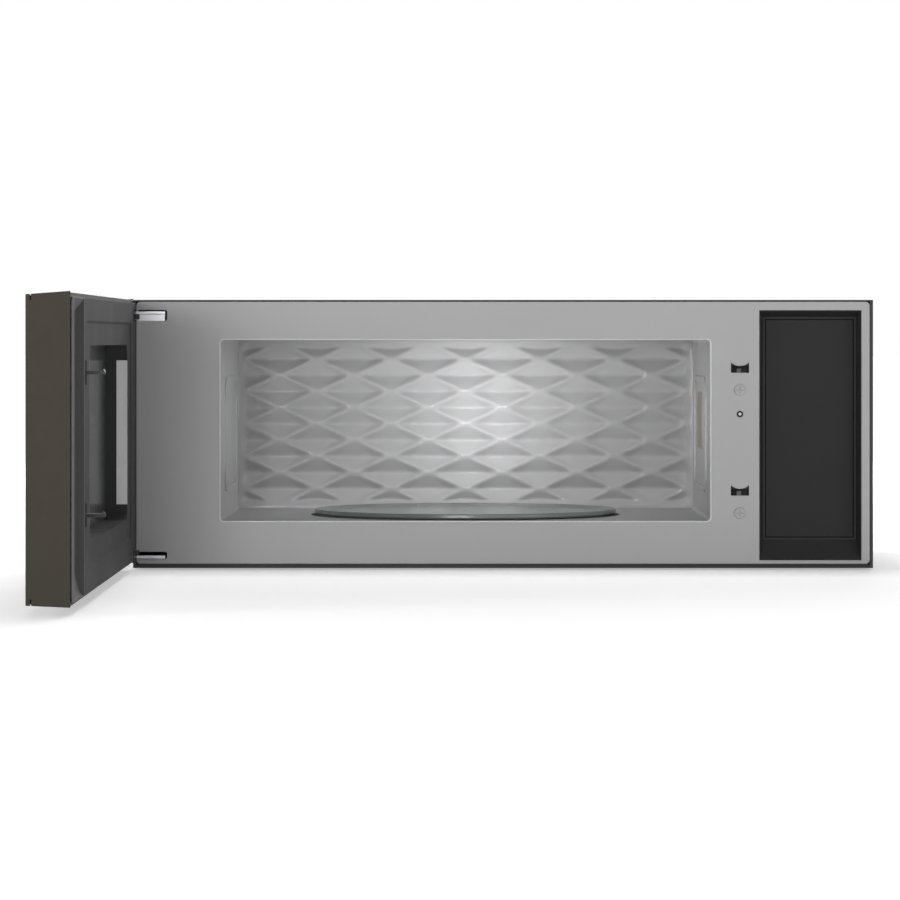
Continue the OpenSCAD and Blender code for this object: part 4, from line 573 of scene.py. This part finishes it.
def opening_bead(width=0.0016, proud=0.0007, sunk=0.0001, corner=0.0035):
    """The half-round bead; its flat side is sunk a little into the faceplate. Its paint is lighter than the
    faceplate's: a painted highlight on the bend.
    """
    arc = np.linspace(0, np.pi, 9)
    section = np.stack([width / 2 + width / 2 * np.cos(arc), proud * np.sin(arc) - sunk], -1)
    outline = rounded_outline(OVEN["x0"], OVEN["x1"], OVEN["z0"], OVEN["z1"], corner)
    bead = bead_ring("opening_bead", outline, section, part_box("front_frame")[0][1])
    bead.data.materials.append(finish("bead_paint_painted_highlight", PEEL, display(206, 206, 207), 0.02, (0.25, 0.32), 0.1,
                                      coat=0.4, Coat_Roughness=0.15))
    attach(bead, "body")
    print("opening bead:", len(bead.data.polygons), "faces")


opening_bead()

# %% [markdown]
# ## The grease filters' mesh
# Under the base two aluminium filters show a net of expanded metal: slit sheet, drawn out so that each
# slit opens to a diamond. In the CAD model a plain slab fills the frame. A net of real strands would
# take a million faces, so each filter gets a sheet with the strands as ridges on its lower side.


# %% Expanded metal
def expanded_mesh(side, long_pitch=0.010, short_pitch=0.005, strand=0.16, step=0.0013,
                  rim=0.0082, valley=0.0019, raised=0.0013, back=0.0030):
    """Ridges where x / long_pitch + y / short_pitch or their difference is near a whole number. valley and
    back are heights over the frame's lower face, and rim is the frame's width."""
    low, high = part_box("grease_filter_" + side)
    ys = np.linspace(low[1] + rim, high[1] - rim, int((high[1] - low[1] - 2 * rim) / step))
    xs = np.linspace(low[0] + rim, high[0] - rim, int((high[0] - low[0] - 2 * rim) / step))
    y, x = np.meshgrid(ys, xs)
    rising = x / long_pitch + y / short_pitch
    falling = x / long_pitch - y / short_pitch
    near = np.minimum(np.abs(rising - np.round(rising)), np.abs(falling - np.round(falling)))
    ridge = np.clip(1.0 - near / strand, 0.0, 1.0)
    front = low[2] + valley - raised * ridge
    sheet = closed_sheet("filter_mesh_" + side, ys, xs, front, low[2] + back, (1, 0, 2))
    sheet.data.materials.append(FINISHES["aluminium_mesh"])
    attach(sheet, "grease_" + side)
    print("filter mesh", side, len(xs), "x", len(ys))


for side in ("left", "right"):
    expanded_mesh(side)

# %% [markdown]
# ## Studio
# The object stands on a pale floor under a white world. The floor keeps the soft shadow under the open door,
# and the camera sees everything else as white. The light could come from a bright world alone, but that would
# leave almost no shadow and a flat quilt. So area lamps do most of it: two at the front left, two far out at
# the sides, three inside the oven, and one above and two behind for the other views. The lamp named glint
# lights no matt surface and gives the quilt's middle its sheen.


# %% Floor and world
def seen_directly(tree):
    """1 for what the camera sees, straight or in metal and glass, and 0 for light on its way."""
    path = node(tree, "ShaderNodeLightPath")
    seen = maths(tree, "MAXIMUM", path.outputs["Is Camera Ray"], path.outputs["Is Glossy Ray"])
    return maths(tree, "MAXIMUM", seen, path.outputs["Is Transmission Ray"])


def stage_floor(side=60.0, drop=0.002, paper=0.85, glow_reach=(1.0, 4.0), glow_power=(0.4, 1.05)):
    """A flat square under the object that keeps its shadow. The camera, metal and glass also see a glow
    that grows with the distance from the object, so that the paper fades to white."""
    mesh = bpy.data.meshes.new("floor")
    corners = [(-side, -side, -drop), (side, -side, -drop), (side, side, -drop), (-side, side, -drop)]
    mesh.from_pydata(corners, [], [(0, 1, 2, 3)])
    floor = bpy.data.objects.new("floor", mesh)
    bpy.context.scene.collection.objects.link(floor)
    mat = bpy.data.materials.new("floor_paper")
    mat.use_nodes = True
    tree = mat.node_tree
    shader = tree.nodes["Principled BSDF"]
    shader.inputs["Base Color"].default_value = (paper, paper, paper, 1)
    shader.inputs["Roughness"].default_value = 0.9
    shader.inputs["Specular IOR Level"].default_value = 0.0
    spot = node(tree, "ShaderNodeTexCoord").outputs["Object"]
    away = node(tree, "ShaderNodeVectorMath", operation="LENGTH")
    tree.links.new(spot, away.inputs[0])
    glow = node(tree, "ShaderNodeEmission")
    glow.inputs["Color"].default_value = (1, 1, 1, 1)
    strength = between(tree, away.outputs["Value"], *glow_reach, *glow_power)
    tree.links.new(strength, glow.inputs["Strength"])
    both = node(tree, "ShaderNodeAddShader")
    pick = node(tree, "ShaderNodeMixShader")
    tree.links.new(shader.outputs[0], both.inputs[0])
    tree.links.new(glow.outputs[0], both.inputs[1])
    tree.links.new(seen_directly(tree), pick.inputs[0])
    tree.links.new(shader.outputs[0], pick.inputs[1])
    tree.links.new(both.outputs[0], pick.inputs[2])
    tree.links.new(pick.outputs[0], tree.nodes["Material Output"].inputs["Surface"])
    mesh.materials.append(mat)


def studio_world(fill):
    """A world that is white to the camera, to metal and to glass, and gives a soft even fill to the rest."""
    world = bpy.data.worlds.new("studio")
    bpy.context.scene.world = world
    world.use_nodes = True
    tree = world.node_tree
    back = tree.nodes["Background"]
    tree.links.new(between(tree, seen_directly(tree), 0.0, 1.0, fill, 1.0), back.inputs["Strength"])
    back.inputs["Color"].default_value = (1, 1, 1, 1)


stage_floor()
studio_world(0.08)


# %% Lamps
def soft_lamp(name, place, target, size, power, height=None):
    """An area lamp that looks at the target: a square, or a rectangle of that height."""
    data = bpy.data.lights.new(name, "AREA")
    data.shape = "RECTANGLE" if height else "SQUARE"
    data.size = size
    if height:
        data.size_y = height
    data.energy = power
    lamp = bpy.data.objects.new(name, data)
    lamp.location = place
    lamp.rotation_euler = (Vector(target) - Vector(place)).to_track_quat("-Z", "Y").to_euler()
    lamp.visible_camera = False
    bpy.context.scene.collection.objects.link(lamp)
    return lamp


soft_lamp("front_left", (-0.65, -4.6, 0.35), (-0.1, -0.3, 0.15), 0.5, 38)
soft_lamp("front_left_low", (-0.9, -4.4, 0.2), (-0.1, -0.3, 0.15), 0.6, 14)
soft_lamp("far_left", (-2.8, -2.4, 0.8), (0.0, -0.3, 0.15), 1.2, 24)
soft_lamp("far_right", (2.6, -2.6, 0.8), (0.0, -0.3, 0.15), 1.2, 23)
soft_lamp("oven_up", (-0.02, -0.28, 0.085), (-0.02, -0.28, 0.20), 0.28, 0.24)
soft_lamp("oven_back", (-0.02, -0.15, 0.15), (-0.02, -0.06, 0.15), 0.06, 0.065)
soft_lamp("oven_front", (-0.05, -0.34, 0.15), (-0.02, -0.06, 0.14), 0.10, 0.13)
glint = soft_lamp("glint", (-0.005, -5.2, 0.15), (-0.005, 0.0, 0.15), 0.2, 80, 1.4)
glint.visible_diffuse = False
soft_lamp("overhead", (0.0, 0.3, 3.0), (0.0, -0.2, 0.2), 1.5, 45)
soft_lamp("behind", (0.3, 3.2, 1.6), (0.0, 0.0, 0.15), 1.6, 70)
soft_lamp("behind_left", (-3.0, 1.2, 1.2), (-0.2, -0.4, 0.15), 1.2, 35)


# %% Camera
def photo_camera(place=(-0.0349, -4.876, 0.2349), lens=174.56, shift=(-19.0, -111.0), side=900):
    """A level camera that looks straight at the faceplate. Its shift, in pixels of a picture that is
    side pixels wide, puts the optical axis off the picture's centre."""
    data = bpy.data.cameras.new("photo")
    data.sensor_width = 36.0
    data.lens = lens
    data.shift_x, data.shift_y = shift[0] / side, shift[1] / side
    data.clip_end = 60
    camera = bpy.data.objects.new("photo", data)
    camera.location = place
    camera.rotation_euler = (math.pi / 2, 0, 0)
    bpy.context.scene.collection.objects.link(camera)
    bpy.context.scene.camera = camera
    print("camera at", place, "lens", lens)


photo_camera()
bpy.context.scene.view_settings.view_transform = "Standard"
